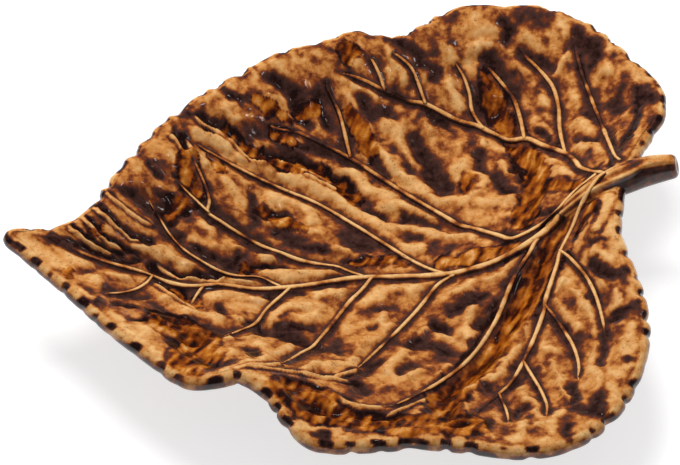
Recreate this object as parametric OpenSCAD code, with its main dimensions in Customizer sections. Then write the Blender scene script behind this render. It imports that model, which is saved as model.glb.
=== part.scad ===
// Leaf-shaped serving dish in glazed earthenware.
// X runs along the midrib, from the leaf's tip at -X to its stem at +X.
// Z is up, and the foot ring stands on the plane z = 0.

/* [Leaf outline] */
// Length of the blade between the tip and the back of the lobes, at the rim's centre line
leaf_length = 219; // [180:1:260]
// Width of the blade across both lobes, at the rim's centre line
leaf_width = 200; // [165:1:240]
// Pitch of the crimped teeth along the rim
tooth_pitch = 9; // [8:0.5:14]
// How far a tooth stands out from the valleys beside it
tooth_depth = 1.4; // [0.4:0.1:2.2]

/* [Dish] */
// Height of the rim's centre line above the table, where it is highest
rim_height = 33; // [29:0.5:40]
// Radius of the rounded rim
rim_radius = 3.2; // [2.6:0.1:3.8]
// Thickness of the clay in the middle of the floor
floor_thickness = 6; // [5:0.25:8]
// How far the wall runs in from the rim before the inside is level
wall_reach = 62; // [54:1:72]
// How far the underside runs in from the rim before it is level
belly_reach = 52; // [46:1:60]

/* [Veins] */
// Half the width of the thickest vein at its foot
vein_half_width = 4; // [3:0.1:5]
// How high the thickest vein stands above the leaf
vein_relief = 1.6; // [0.8:0.1:2.2]

/* [Folds] */
// Half the width of the widest fold of the leaf between its veins
fold_half_width = 7; // [5.5:0.25:8]
// Depth of the deepest fold
fold_depth = 2.4; // [1:0.1:2.8]

/* [Stem] */
// Radius of the stem where it crosses the rim
stem_radius = 5.6; // [4.4:0.1:6.4]
// How far the stem's cut end stands out from the notch between the lobes
stem_overhang = 19; // [15:0.2:28]
// How far the middle of the cut end stands above the rim where that is highest
stem_lift = 3; // [0:0.25:10]
// Width of the rounded edge around the stem's cut end
stem_end_round = 2; // [0.8:0.1:2.4]

/* [Foot ring] */
// Outer radius of the foot ring where it joins the blade
foot_radius = 33; // [28:0.5:36]
// Height of the foot ring
foot_height = 3; // [2:0.25:5]
// Width of the foot ring where it joins the blade
foot_width = 7; // [5.5:0.5:9]
// Width of the flat face that stands on the table
foot_land = 4; // [2.5:0.25:5]

/* [Hidden] */

glaze_brown = "#9A5A22";
stem_brown = "#8A4F22";
bare_clay = "#C9A27A";

// The rim's centre line, counter-clockwise from the notch where the stem leaves:
// shares of the leaf's length, of its width and of the rim's height.
rim_shares = [
    [0.415, 0.050, 0.88], [0.455, 0.125, 0.90], [0.493, 0.185, 0.92], [0.505, 0.247, 0.94],
    [0.485, 0.310, 0.95], [0.458, 0.370, 0.96], [0.425, 0.430, 0.97], [0.360, 0.480, 1.00],
    [0.300, 0.488, 1.00], [0.255, 0.500, 1.00], [0.205, 0.488, 0.97], [0.168, 0.463, 0.95],
    [0.125, 0.443, 0.93], [0.090, 0.450, 0.95], [0.062, 0.460, 0.97], [0.005, 0.437, 0.97],
    [-0.060, 0.420, 0.96], [-0.120, 0.385, 0.93], [-0.190, 0.335, 0.91], [-0.250, 0.275, 0.91],
    [-0.290, 0.220, 0.91], [-0.325, 0.165, 0.92], [-0.357, 0.112, 0.90], [-0.390, 0.060, 0.89],
    [-0.440, 0.030, 0.90], [-0.500, 0.030, 0.92], [-0.478, -0.005, 0.88], [-0.425, -0.085, 0.84],
    [-0.370, -0.180, 0.84], [-0.315, -0.260, 0.83], [-0.275, -0.312, 0.82], [-0.235, -0.322, 0.83],
    [-0.195, -0.318, 0.83], [-0.158, -0.355, 0.78], [-0.132, -0.415, 0.71], [-0.100, -0.450, 0.66],
    [-0.040, -0.455, 0.63], [0.040, -0.458, 0.62], [0.110, -0.477, 0.62], [0.170, -0.500, 0.64],
    [0.235, -0.497, 0.65], [0.295, -0.462, 0.68], [0.345, -0.395, 0.71], [0.380, -0.305, 0.74],
    [0.390, -0.220, 0.77], [0.385, -0.130, 0.80], [0.383, -0.060, 0.83]
];
// The middle of the floor and of the foot ring, as shares of the leaf's length and width
middle_shares = [0.03, -0.02];
middle = [middle_shares.x * leaf_length, middle_shares.y * leaf_width];

// The veins, each a route from its thick end to its thin end, and its width
// at both ends as shares of the thickest vein's. A point of a route is a
// share of the leaf's length and one of its width.
vein_shares = [
    // midrib, from the stem's root to the tip
    [[[0.315, 0.006], [0.280, -0.016], [0.220, -0.038], [0.150, -0.045], [0.066, -0.035], [0.000, -0.029],
      [-0.080, -0.042], [-0.150, -0.049], [-0.200, -0.042], [-0.250, -0.050], [-0.300, -0.033],
      [-0.380, -0.015], [-0.440, 0.012], [-0.480, 0.025]], 1.00, 0.45],
    // main vein of the far lobe and those that leave it
    [[[0.388, 0.068], [0.374, 0.090], [0.363, 0.115], [0.360, 0.140], [0.349, 0.178], [0.323, 0.215],
      [0.300, 0.246], [0.272, 0.256], [0.249, 0.272], [0.232, 0.287], [0.203, 0.300], [0.158, 0.330],
      [0.129, 0.337], [0.095, 0.355], [0.066, 0.374], [0.032, 0.387], [0.000, 0.388]], 0.80, 0.45],
    [[[0.417, 0.088], [0.413, 0.106], [0.414, 0.165], [0.414, 0.222], [0.409, 0.290], [0.404, 0.340],
      [0.402, 0.390], [0.402, 0.422]], 0.55, 0.40],
    [[[0.351, 0.175], [0.354, 0.240], [0.360, 0.290], [0.358, 0.334], [0.343, 0.372], [0.326, 0.400],
      [0.314, 0.422]], 0.55, 0.40],
    [[[0.300, 0.246], [0.300, 0.290], [0.296, 0.328], [0.283, 0.359], [0.266, 0.390], [0.257, 0.406]], 0.55, 0.40],
    [[[0.240, 0.280], [0.228, 0.315], [0.228, 0.347], [0.223, 0.378], [0.212, 0.405]], 0.50, 0.35],
    [[[0.155, 0.332], [0.149, 0.365], [0.141, 0.390], [0.126, 0.406], [0.112, 0.418]], 0.50, 0.35],
    [[[0.094, 0.356], [0.089, 0.384], [0.078, 0.415]], 0.45, 0.35],
    // side veins of the far half
    [[[0.374, 0.055], [0.340, 0.038], [0.312, 0.018], [0.283, 0.007], [0.249, 0.001], [0.236, 0.005],
      [0.220, 0.025], [0.169, 0.078], [0.118, 0.140], [0.069, 0.196], [0.023, 0.240], [-0.036, 0.278],
      [-0.065, 0.289], [-0.114, 0.300]], 0.80, 0.45],
    [[[0.026, 0.240], [0.023, 0.284], [0.018, 0.322], [0.006, 0.359], [0.004, 0.380]], 0.50, 0.35],
    [[[0.130, -0.040], [0.106, -0.017], [0.084, 0.009], [0.061, 0.040], [0.015, 0.097], [-0.037, 0.147],
      [-0.094, 0.178], [-0.168, 0.217], [-0.230, 0.250]], 0.70, 0.40],
    [[[0.012, -0.026], [-0.008, -0.010], [-0.031, 0.009], [-0.088, 0.030], [-0.134, 0.059],
      [-0.185, 0.097], [-0.205, 0.112], [-0.201, 0.134], [-0.205, 0.165], [-0.214, 0.200],
      [-0.224, 0.230]], 0.65, 0.40],
    [[[-0.205, 0.112], [-0.219, 0.128], [-0.236, 0.146], [-0.251, 0.165]], 0.45, 0.35],
    [[[-0.114, -0.042], [-0.131, -0.026], [-0.145, -0.018], [-0.174, -0.013], [-0.210, 0.000],
      [-0.245, 0.025], [-0.265, 0.050], [-0.278, 0.078], [-0.294, 0.122]], 0.55, 0.35],
    // main vein of the near lobe and those that leave it
    [[[0.385, 0.045], [0.369, 0.034], [0.346, 0.009], [0.329, -0.020], [0.303, -0.066], [0.292, -0.098],
      [0.266, -0.160], [0.258, -0.188], [0.228, -0.254], [0.192, -0.322], [0.166, -0.354],
      [0.141, -0.385], [0.118, -0.410]], 0.80, 0.45],
    [[[0.303, -0.066], [0.315, -0.104], [0.326, -0.142], [0.332, -0.180], [0.334, -0.222],
      [0.332, -0.267], [0.323, -0.304]], 0.55, 0.40],
    [[[0.263, -0.172], [0.272, -0.204], [0.280, -0.242], [0.286, -0.280], [0.286, -0.322],
      [0.278, -0.366]], 0.55, 0.40],
    [[[0.214, -0.285], [0.221, -0.328], [0.226, -0.366], [0.227, -0.404], [0.220, -0.435]], 0.50, 0.40],
    [[[0.167, -0.355], [0.170, -0.398], [0.168, -0.435]], 0.45, 0.35],
    // side veins of the near half
    [[[0.300, -0.002], [0.274, -0.025], [0.260, -0.047], [0.237, -0.079], [0.220, -0.110],
      [0.189, -0.175], [0.143, -0.245], [0.089, -0.304], [0.055, -0.335], [0.020, -0.360],
      [-0.012, -0.375]], 0.75, 0.40],
    [[[0.150, -0.047], [0.123, -0.063], [0.106, -0.085], [0.084, -0.117], [0.032, -0.185],
      [-0.008, -0.238], [-0.025, -0.263]], 0.65, 0.40],
    [[[0.024, -0.034], [0.006, -0.060], [-0.014, -0.085], [-0.036, -0.122], [-0.073, -0.185],
      [-0.117, -0.247], [-0.137, -0.275]], 0.65, 0.40],
    [[[-0.099, -0.047], [-0.119, -0.072], [-0.139, -0.100], [-0.157, -0.135], [-0.180, -0.160],
      [-0.211, -0.182]], 0.55, 0.35],
    [[[-0.225, -0.045], [-0.239, -0.070], [-0.248, -0.088]], 0.45, 0.35],
    [[[-0.301, -0.035], [-0.310, -0.054], [-0.328, -0.076], [-0.351, -0.095], [-0.382, -0.110]], 0.45, 0.35]
];

// The folds, each a route like a vein's, then its half width and its depth
// as shares of the widest and of the deepest fold's
fold_shares = [
    // long fold of the far half
    [[[-0.201, 0.309], [-0.139, 0.259], [-0.054, 0.230], [-0.002, 0.196], [0.038, 0.134], [0.089, 0.100],
      [0.169, 0.064]], 0.75, 0.60],
    // crease beside the midrib
    [[[-0.330, 0.005], [-0.253, -0.018], [-0.174, -0.008], [-0.105, 0.014], [-0.025, 0.018]], 0.70, 0.50],
    // wedge near the tip
    [[[-0.310, -0.004], [-0.282, -0.042], [-0.253, -0.079], [-0.231, -0.110]], 0.70, 0.50],
    // trough along the near lobe's main vein
    [[[0.320, -0.020], [0.277, -0.075], [0.232, -0.142], [0.203, -0.192], [0.163, -0.248], [0.123, -0.298],
      [0.089, -0.348], [0.078, -0.400]], 1.00, 1.00],
    // pooled streak of the far lobe
    [[[0.274, 0.315], [0.285, 0.228], [0.296, 0.170], [0.285, 0.100], [0.262, 0.040]], 0.90, 0.80],
    // hollow under the wall near the tip
    [[[-0.290, -0.170], [-0.262, -0.200], [-0.248, -0.250], [-0.225, -0.290]], 0.90, 0.60],
    // hollow along the near wall
    [[[-0.130, -0.340], [-0.080, -0.385], [0.000, -0.400], [0.070, -0.420]], 0.85, 0.60],
    // hollow between the side veins of the near half
    [[[-0.150, -0.150], [-0.110, -0.175], [-0.075, -0.205]], 0.80, 0.45],
    [[[0.060, -0.205], [0.120, -0.170], [0.190, -0.165]], 0.80, 0.45],
    // hollows between the side veins of the far half
    [[[-0.330, 0.115], [-0.265, 0.110], [-0.200, 0.090], [-0.130, 0.050]], 0.80, 0.45],
    [[[-0.090, 0.275], [-0.060, 0.335], [-0.075, 0.375]], 0.80, 0.45],
    [[[0.130, 0.270], [0.150, 0.200], [0.168, 0.160]], 0.80, 0.45]
];

// Where the stem's root and the notch that it crosses lie, as shares of the leaf's length
stem_root_share = 0.293;
notch_share = 0.400;
// The stem's centre line from its root to its cut end: shares of the way between
// them, of the leaf's width and of the end's height, and of the stem's radius.
stem_shares = [
    [0.000, 0.006, 0.520, 0.38], [0.162, 0.017, 0.640, 0.54], [0.345, 0.031, 0.740, 0.78],
    [0.522, 0.041, 0.805, 0.94], [0.650, 0.046, 0.845, 1.00], [0.762, 0.049, 0.880, 1.00],
    [0.875, 0.048, 0.910, 0.93], [1.000, 0.042, 0.955, 0.80]
];
// Radius of the flat of the stem's cut end, as a share of the stem's radius there
stem_flat_share = 0.60;
stem_sides = 14;
steps_per_stem_point = 3;

steps_per_rim_point = 6;
// A tooth is one valley and the two shoulders between it and the next valley
stations_per_tooth = 3;
// Places of the rings of points, from the middle (0) to the rim's centre line (1).
// Those near the rim have a point at every station, the others one for each tooth.
inside_coarse_shares = [for (k = [1 : 6]) 0.06 * k];
inside_fine_shares = [for (k = [0 : 9]) 0.42 + 0.0585 * k];
belly_fine_shares = [0.93];
belly_coarse_shares = [0.76, 0.5, 0.22, 0];
// Directions around the rounded rim, from its inner top to its inner underside
rim_angles = [105, 62, 20, -22, -65];
// Rings are stretched along the midrib by this power of their place
ring_stretch_share = 0.8;

floor_top = foot_height + floor_thickness;
seat_radius = foot_radius + rim_radius / 2;
// Power by which the rim's pull falls off with distance, and what it gives for a straight rim
pull = 4;
straight_edge = PI / 2;
// Steepness of the inside and of the underside towards the rim
wall_steepness = 1.7;
belly_steepness = 1.7;
// Share of the rim's radius by which the underside lies below the rim's centre line
belly_drop_share = 0.85;

// Point of a smooth curve through a, b, c and d, between b (f = 0) and c (f = 1)
function curve_point(a, b, c, d, f) =
    (2 * b + (c - a) * f + (2 * a - 5 * b + 4 * c - d) * f * f
     + (3 * b - 3 * c + d - a) * f * f * f) / 2;

// Closed smooth curve through points, with steps places for each of them
function closed_curve(points, steps) = let (n = len(points)) [
    for (i = [0 : n - 1], j = [0 : steps - 1])
        curve_point(points[(i + n - 1) % n], points[i], points[(i + 1) % n], points[(i + 2) % n], j / steps)
];

// Open smooth curve through points, with steps places for each of them
function open_curve(points, steps) = let (n = len(points)) [
    for (i = [0 : n - 2], j = [0 : i == n - 2 ? steps : steps - 1])
        curve_point(points[max(i - 1, 0)], points[i], points[i + 1], points[min(i + 2, n - 1)], j / steps)
];

function plan(p) = [p.x, p.y];
function unit(v) = v / norm(v);
function sum(list) = list * [for (v = list) 1];

// The rim's centre line as a fine curve, back to its start, and how far along each point is
rim_curve = let (c = closed_curve([for (s = rim_shares)
    [s.x * leaf_length, s.y * leaf_width, s.z * rim_height]], steps_per_rim_point)) [each c, c[0]];
rim_run = [for (i = 0, run = 0; i < len(rim_curve);
    run = run + (i < len(rim_curve) - 1 ? norm(plan(rim_curve[i + 1] - rim_curve[i])) : 0), i = i + 1) run];
rim_length = rim_run[len(rim_run) - 1];
teeth = round(rim_length / tooth_pitch);
stations = teeth * stations_per_tooth;
station_step = rim_length / stations;
// One table for each axis, from the way along the rim to the place there
rim_tables = [for (axis = [0 : 2]) [for (k = [0 : len(rim_run) - 1]) [rim_run[k], rim_curve[k][axis]]]];
// The stations: even steps along the rim, so that each tooth has the same number of them
rim = [for (i = [0 : stations - 1]) [for (table = rim_tables) lookup(i * station_step, table)]];
// Outward direction in plan at each station
rim_out = [for (i = [0 : stations - 1])
    let (t = unit(plan(rim[(i + 1) % stations] - rim[(i + stations - 1) % stations]))) [t.y, -t.x]];

// How strongly each stretch of the rim pulls at a place in plan
function pulls(p) = [for (i = [0 : stations - 1])
    let (gap = p - plan(rim[i])) station_step / pow(gap * gap + rim_radius * rim_radius, pull / 2)];
// Smooth distance from the rim, and the height of the rim that counts there
function rim_distance(w) = max(pow(sum(w) / straight_edge, -1 / (pull - 1)) - rim_radius, 0);
function rim_level(w) = (w * [for (p = rim) p.z]) / sum(w);

function rise(distance, reach, power) = pow(1 - min(distance / reach, 1), power);
// Height of the inside of the dish at a place in plan
function inside_height(p) = let (w = pulls(p))
    floor_top + (rim_level(w) + rim_radius - floor_top) * rise(rim_distance(w), wall_reach, wall_steepness);
// How far along from a (0) to b (1) the point nearest to p lies
function way_along(p, a, b) = max(0, min(1, (p - a) * (b - a) / ((b - a) * (b - a))));
// How far a vein lifts the clay at a place in plan: most on its middle line, nothing past its width
function vein_lift(p, vein) = let (
    line = [for (s = vein[0]) [s.x * leaf_length, s.y * leaf_width]],
    n = len(line) - 1)
    max([for (i = [0 : n - 1])
        let (f = way_along(p, line[i], line[i + 1]),
             width = vein[1] + (vein[2] - vein[1]) * (i + f) / n,
             off = norm(p - line[i] - f * (line[i + 1] - line[i])) / (vein_half_width * width))
            off < 1 ? vein_relief * width * (1 + cos(180 * off)) / 2 : 0]);
function veins_lift(p) = max([for (v = vein_shares) vein_lift(p, v)]);
// How far a fold sinks the clay there, with the same round section
function fold_drop(p, fold) = let (
    line = [for (s = fold[0]) [s.x * leaf_length, s.y * leaf_width]],
    gaps = [for (i = [0 : len(line) - 2])
        norm(p - line[i] - way_along(p, line[i], line[i + 1]) * (line[i + 1] - line[i]))],
    off = min(gaps) / (fold_half_width * fold[1]))
        off < 1 ? fold_depth * fold[2] * (1 + cos(180 * off)) / 2 : 0;
function folds_drop(p) = max([for (f = fold_shares) fold_drop(p, f)]);
function leaf_height(p) = inside_height(p) + veins_lift(p) - folds_drop(p);
// Height of the underside at a place in plan: level over the foot ring's seat
function belly_height(p) = let (w = pulls(p), out = norm(p - middle) - seat_radius)
    foot_height + (out <= 0 ? 0 : min(out / foot_width, 1)
        * (rim_level(w) - belly_drop_share * rim_radius - foot_height)
        * rise(rim_distance(w), belly_reach, belly_steepness));

// Place in plan of a ring's point: a shrunken copy of the rim, stretched along the midrib
function inside_place(i, s) = [
    middle.x + (rim[i].x - middle.x) * pow(s, ring_stretch_share), middle.y + (rim[i].y - middle.y) * s];
// Place in plan of an underside ring's point, between the seat's circle and the rim
function belly_place(i, s) = let (out = plan(rim[i]) - middle, seat = middle + unit(out) * seat_radius)
    seat + (plan(rim[i]) - seat) * s;

// Points of the rounded rim, with valleys between its teeth that deepen towards the outside
function rim_points(angle) = [for (i = [0 : stations - 1])
    let (r = rim_radius - (i % stations_per_tooth == 0 ? tooth_depth * max(cos(angle), 0) : 0))
        [each plan(rim[i]) + rim_out[i] * r * cos(angle), rim[i].z + r * sin(angle)]];

// Points of a ring inside the dish and of one on its underside, at every step-th station
function inside_ring(s, step) = [for (i = [0 : step : stations - 1]) let (p = inside_place(i, s))
    [each p, leaf_height(p)]];
function belly_ring(s, step) = [for (i = [0 : step : stations - 1]) let (p = belly_place(i, s))
    [each p, belly_height(p)]];

// Triangles between neighbouring rings of n points, the first ring starting at point first
function ring_faces(first, rings, n) = [
    for (r = [0 : rings - 2], i = [0 : n - 1])
        let (a = first + r * n + i, b = first + r * n + (i + 1) % n, c = a + n, d = b + n)
            each [[a, c, b], [b, c, d]]];
// Triangles between a ring with one point a tooth and one with a point at every station
function step_faces(coarse, fine) = [
    for (i = [0 : teeth - 1])
        let (a = coarse + i, b = coarse + (i + 1) % teeth, v = stations_per_tooth * i,
             f = [for (k = [0 : stations_per_tooth]) fine + (v + k) % stations])
            each [[a, f[0], f[1]], [a, f[1], f[2]], [a, f[2], b], [b, f[2], f[3]]]];
// Triangles that close a ring of n points round a hub
function fan_faces(first, n, hub) = [for (i = [0 : n - 1]) [hub, first + i, first + (i + 1) % n]];
function turned(faces) = [for (f = faces) [f[2], f[1], f[0]]];

// The clay of the leaf: its inside, its rounded rim and its underside as one closed skin
module blade_body() {
    points = [
        for (s = inside_coarse_shares) each inside_ring(s, stations_per_tooth),
        for (s = inside_fine_shares) each inside_ring(s, 1),
        for (a = rim_angles) each rim_points(a),
        for (s = belly_fine_shares) each belly_ring(s, 1),
        for (s = belly_coarse_shares) each belly_ring(s, stations_per_tooth),
        [each middle, leaf_height(middle)],
        [each middle, foot_height]
    ];
    fine_rings = len(inside_fine_shares) + len(rim_angles) + len(belly_fine_shares);
    fine = len(inside_coarse_shares) * teeth;
    belly = fine + fine_rings * stations;
    last = belly + (len(belly_coarse_shares) - 1) * teeth;
    hubs = last + teeth;
    faces = concat(
        fan_faces(0, teeth, hubs),
        ring_faces(0, len(inside_coarse_shares), teeth),
        step_faces(fine - teeth, fine),
        ring_faces(fine, fine_rings, stations),
        turned(step_faces(belly, belly - stations)),
        ring_faces(belly, len(belly_coarse_shares), teeth),
        turned(fan_faces(last, teeth, hubs + 1))
    );
    polyhedron(points = points, faces = turned(faces), convexity = 6);
}

module leaf_blade() {
    color(glaze_brown)
        difference() {
            blade_body();
            stem_coil();
        }
}

// The hand-rolled stem: round rings along its centre line, drawn in at the cut end
module stem_coil() {
    root = stem_root_share * leaf_length;
    reach = notch_share * leaf_length + stem_overhang;
    line = open_curve([for (s = stem_shares)
        [root + s.x * (reach - root), s.y * leaf_width, s.z * (rim_height + stem_lift), s[3] * stem_radius]],
        steps_per_stem_point);
    n = len(line);
    at = [for (p = line) [p.x, p.y, p.z]];
    along = [for (i = [0 : n - 1]) unit(at[min(i + 1, n - 1)] - at[max(i - 1, 0)])];
    aside = [for (t = along) unit(cross([0, 0, 1], t))];
    end_centre = at[n - 1] + along[n - 1] * stem_end_round;
    ring = function (i, centre, r) [for (k = [0 : stem_sides - 1]) let (a = 360 * k / stem_sides)
        centre + r * (cos(a) * aside[i] + sin(a) * cross(along[i], aside[i]))];
    points = [
        for (i = [0 : n - 1]) each ring(i, at[i], line[i][3]),
        each ring(n - 1, end_centre, line[n - 1][3] * stem_flat_share),
        at[0],
        end_centre
    ];
    hubs = (n + 1) * stem_sides;
    faces = concat(ring_faces(0, n + 1, stem_sides), fan_faces(0, stem_sides, hubs),
                   turned(fan_faces(n * stem_sides, stem_sides, hubs + 1)));
    polyhedron(points = points, faces = faces, convexity = 4);
}

module stem_handle() {
    color(stem_brown)
        stem_coil();
}

// The turned foot ring, with sloping sides and a flat face to stand on
module foot_ring() {
    slope = (foot_width - foot_land) / 2;
    color(bare_clay)
        translate([each middle, 0])
            rotate_extrude($fn = 96)
                polygon([
                    [foot_radius - foot_width, foot_height], [foot_radius - foot_width + slope, 0],
                    [foot_radius - slope, 0], [foot_radius, foot_height]
                ]);
}

leaf_blade();
stem_handle();
foot_ring();
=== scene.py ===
"""Leaf-shaped serving dish in glossy brown glazed earthenware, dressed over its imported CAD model.

X runs along the midrib from the leaf's tip to its stem, Z is up, and lengths are in metres.
"""

import bpy
import numpy as np
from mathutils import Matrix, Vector


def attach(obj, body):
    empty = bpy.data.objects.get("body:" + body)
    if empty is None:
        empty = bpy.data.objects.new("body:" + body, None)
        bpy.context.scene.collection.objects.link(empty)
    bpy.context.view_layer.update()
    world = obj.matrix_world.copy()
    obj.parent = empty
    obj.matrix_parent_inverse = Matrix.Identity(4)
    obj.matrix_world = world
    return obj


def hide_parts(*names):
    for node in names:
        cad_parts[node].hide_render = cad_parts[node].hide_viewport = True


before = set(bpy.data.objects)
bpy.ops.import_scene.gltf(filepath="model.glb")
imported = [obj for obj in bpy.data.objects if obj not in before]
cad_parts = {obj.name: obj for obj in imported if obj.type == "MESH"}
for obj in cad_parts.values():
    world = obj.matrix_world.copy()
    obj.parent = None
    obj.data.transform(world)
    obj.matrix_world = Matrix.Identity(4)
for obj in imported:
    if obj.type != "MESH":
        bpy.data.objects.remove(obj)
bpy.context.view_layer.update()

MM = 0.001

bl_info = {
    "name": "Leaf dish",
    "version": (1, 0, 0),
    "blender": (4, 5, 0),
    "location": "3D View > Sidebar > Leaf dish",
    "description": "Builds a leaf-shaped glazed dish with veins, a crimped rim, a stem and a foot ring",
    "category": "Add Mesh",
}

# Shapes, given one by one

# The rim's centre line, counter-clockwise from the notch where the stem leaves:
# shares of the leaf's length, of its width and of the rim's height
RIM_SHARES = (
    (0.415, 0.050, 0.88), (0.455, 0.125, 0.90), (0.493, 0.185, 0.92), (0.505, 0.247, 0.94),
    (0.485, 0.310, 0.95), (0.458, 0.370, 0.96), (0.425, 0.430, 0.97), (0.360, 0.480, 1.00),
    (0.300, 0.488, 1.00), (0.255, 0.500, 1.00), (0.205, 0.488, 0.97), (0.168, 0.463, 0.95),
    (0.125, 0.443, 0.93), (0.090, 0.450, 0.95), (0.062, 0.460, 0.97), (0.005, 0.437, 0.97),
    (-0.060, 0.420, 0.96), (-0.120, 0.385, 0.93), (-0.190, 0.335, 0.91), (-0.250, 0.275, 0.91),
    (-0.290, 0.220, 0.91), (-0.325, 0.165, 0.92), (-0.357, 0.112, 0.90), (-0.390, 0.060, 0.89),
    (-0.440, 0.030, 0.90), (-0.500, 0.030, 0.92), (-0.478, -0.005, 0.88), (-0.425, -0.085, 0.84),
    (-0.370, -0.180, 0.84), (-0.315, -0.260, 0.83), (-0.275, -0.312, 0.82), (-0.235, -0.322, 0.83),
    (-0.195, -0.318, 0.83), (-0.158, -0.355, 0.78), (-0.132, -0.415, 0.71), (-0.100, -0.450, 0.66),
    (-0.040, -0.455, 0.63), (0.040, -0.458, 0.62), (0.110, -0.477, 0.62), (0.170, -0.500, 0.64),
    (0.235, -0.497, 0.65), (0.295, -0.462, 0.68), (0.345, -0.395, 0.71), (0.380, -0.305, 0.74),
    (0.390, -0.220, 0.77), (0.385, -0.130, 0.80), (0.383, -0.060, 0.83),
)
# The middle of the floor and of the foot ring
MIDDLE_SHARES = (0.03, -0.02)

# The veins: a route from the thick end to the thin end in shares of the leaf's
# length and width, then the width at both ends as shares of the thickest vein's
VEIN_SHARES = (
    # midrib, from the stem's root to the tip
    (((0.315, 0.006), (0.280, -0.016), (0.220, -0.038), (0.150, -0.045), (0.066, -0.035), (0.000, -0.029),
      (-0.080, -0.042), (-0.150, -0.049), (-0.200, -0.042), (-0.250, -0.050), (-0.300, -0.033),
      (-0.380, -0.015), (-0.440, 0.012), (-0.480, 0.025)), 1.00, 0.45),
    # main vein of the far lobe and those that leave it
    (((0.388, 0.068), (0.374, 0.090), (0.363, 0.115), (0.360, 0.140), (0.349, 0.178), (0.323, 0.215),
      (0.300, 0.246), (0.272, 0.256), (0.249, 0.272), (0.232, 0.287), (0.203, 0.300), (0.158, 0.330),
      (0.129, 0.337), (0.095, 0.355), (0.066, 0.374), (0.032, 0.387), (0.000, 0.388)), 0.80, 0.45),
    (((0.417, 0.088), (0.413, 0.106), (0.414, 0.165), (0.414, 0.222), (0.409, 0.290), (0.404, 0.340),
      (0.402, 0.390), (0.402, 0.422)), 0.55, 0.40),
    (((0.351, 0.175), (0.354, 0.240), (0.360, 0.290), (0.358, 0.334), (0.343, 0.372), (0.326, 0.400),
      (0.314, 0.422)), 0.55, 0.40),
    (((0.300, 0.246), (0.300, 0.290), (0.296, 0.328), (0.283, 0.359), (0.266, 0.390),
      (0.257, 0.406)), 0.55, 0.40),
    (((0.240, 0.280), (0.228, 0.315), (0.228, 0.347), (0.223, 0.378), (0.212, 0.405)), 0.50, 0.35),
    (((0.155, 0.332), (0.149, 0.365), (0.141, 0.390), (0.126, 0.406), (0.112, 0.418)), 0.50, 0.35),
    (((0.094, 0.356), (0.089, 0.384), (0.078, 0.415)), 0.45, 0.35),
    # side veins of the far half
    (((0.374, 0.055), (0.340, 0.038), (0.312, 0.018), (0.283, 0.007), (0.249, 0.001), (0.236, 0.005),
      (0.220, 0.025), (0.169, 0.078), (0.118, 0.140), (0.069, 0.196), (0.023, 0.240), (-0.036, 0.278),
      (-0.065, 0.289), (-0.114, 0.300)), 0.80, 0.45),
    (((0.026, 0.240), (0.023, 0.284), (0.018, 0.322), (0.006, 0.359), (0.004, 0.380)), 0.50, 0.35),
    (((0.130, -0.040), (0.106, -0.017), (0.084, 0.009), (0.061, 0.040), (0.015, 0.097), (-0.037, 0.147),
      (-0.094, 0.178), (-0.168, 0.217), (-0.230, 0.250)), 0.70, 0.40),
    (((0.012, -0.026), (-0.008, -0.010), (-0.031, 0.009), (-0.088, 0.030), (-0.134, 0.059),
      (-0.185, 0.097), (-0.205, 0.112), (-0.201, 0.134), (-0.205, 0.165), (-0.214, 0.200),
      (-0.224, 0.230)), 0.65, 0.40),
    (((-0.205, 0.112), (-0.219, 0.128), (-0.236, 0.146), (-0.251, 0.165)), 0.45, 0.35),
    (((-0.114, -0.042), (-0.131, -0.026), (-0.145, -0.018), (-0.174, -0.013), (-0.210, 0.000),
      (-0.245, 0.025), (-0.265, 0.050), (-0.278, 0.078), (-0.294, 0.122)), 0.55, 0.35),
    # main vein of the near lobe and those that leave it
    (((0.385, 0.045), (0.369, 0.034), (0.346, 0.009), (0.329, -0.020), (0.303, -0.066), (0.292, -0.098),
      (0.266, -0.160), (0.258, -0.188), (0.228, -0.254), (0.192, -0.322), (0.166, -0.354),
      (0.141, -0.385), (0.118, -0.410)), 0.80, 0.45),
    (((0.303, -0.066), (0.315, -0.104), (0.326, -0.142), (0.332, -0.180), (0.334, -0.222),
      (0.332, -0.267), (0.323, -0.304)), 0.55, 0.40),
    (((0.263, -0.172), (0.272, -0.204), (0.280, -0.242), (0.286, -0.280), (0.286, -0.322),
      (0.278, -0.366)), 0.55, 0.40),
    (((0.214, -0.285), (0.221, -0.328), (0.226, -0.366), (0.227, -0.404), (0.220, -0.435)), 0.50, 0.40),
    (((0.167, -0.355), (0.170, -0.398), (0.168, -0.435)), 0.45, 0.35),
    # side veins of the near half
    (((0.300, -0.002), (0.274, -0.025), (0.260, -0.047), (0.237, -0.079), (0.220, -0.110),
      (0.189, -0.175), (0.143, -0.245), (0.089, -0.304), (0.055, -0.335), (0.020, -0.360),
      (-0.012, -0.375)), 0.75, 0.40),
    (((0.150, -0.047), (0.123, -0.063), (0.106, -0.085), (0.084, -0.117), (0.032, -0.185),
      (-0.008, -0.238), (-0.025, -0.263)), 0.65, 0.40),
    (((0.024, -0.034), (0.006, -0.060), (-0.014, -0.085), (-0.036, -0.122), (-0.073, -0.185),
      (-0.117, -0.247), (-0.137, -0.275)), 0.65, 0.40),
    (((-0.099, -0.047), (-0.119, -0.072), (-0.139, -0.100), (-0.157, -0.135), (-0.180, -0.160),
      (-0.211, -0.182)), 0.55, 0.35),
    (((-0.225, -0.045), (-0.239, -0.070), (-0.248, -0.088)), 0.45, 0.35),
    (((-0.301, -0.035), (-0.310, -0.054), (-0.328, -0.076), (-0.351, -0.095), (-0.382, -0.110)), 0.45, 0.35),
)

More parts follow.
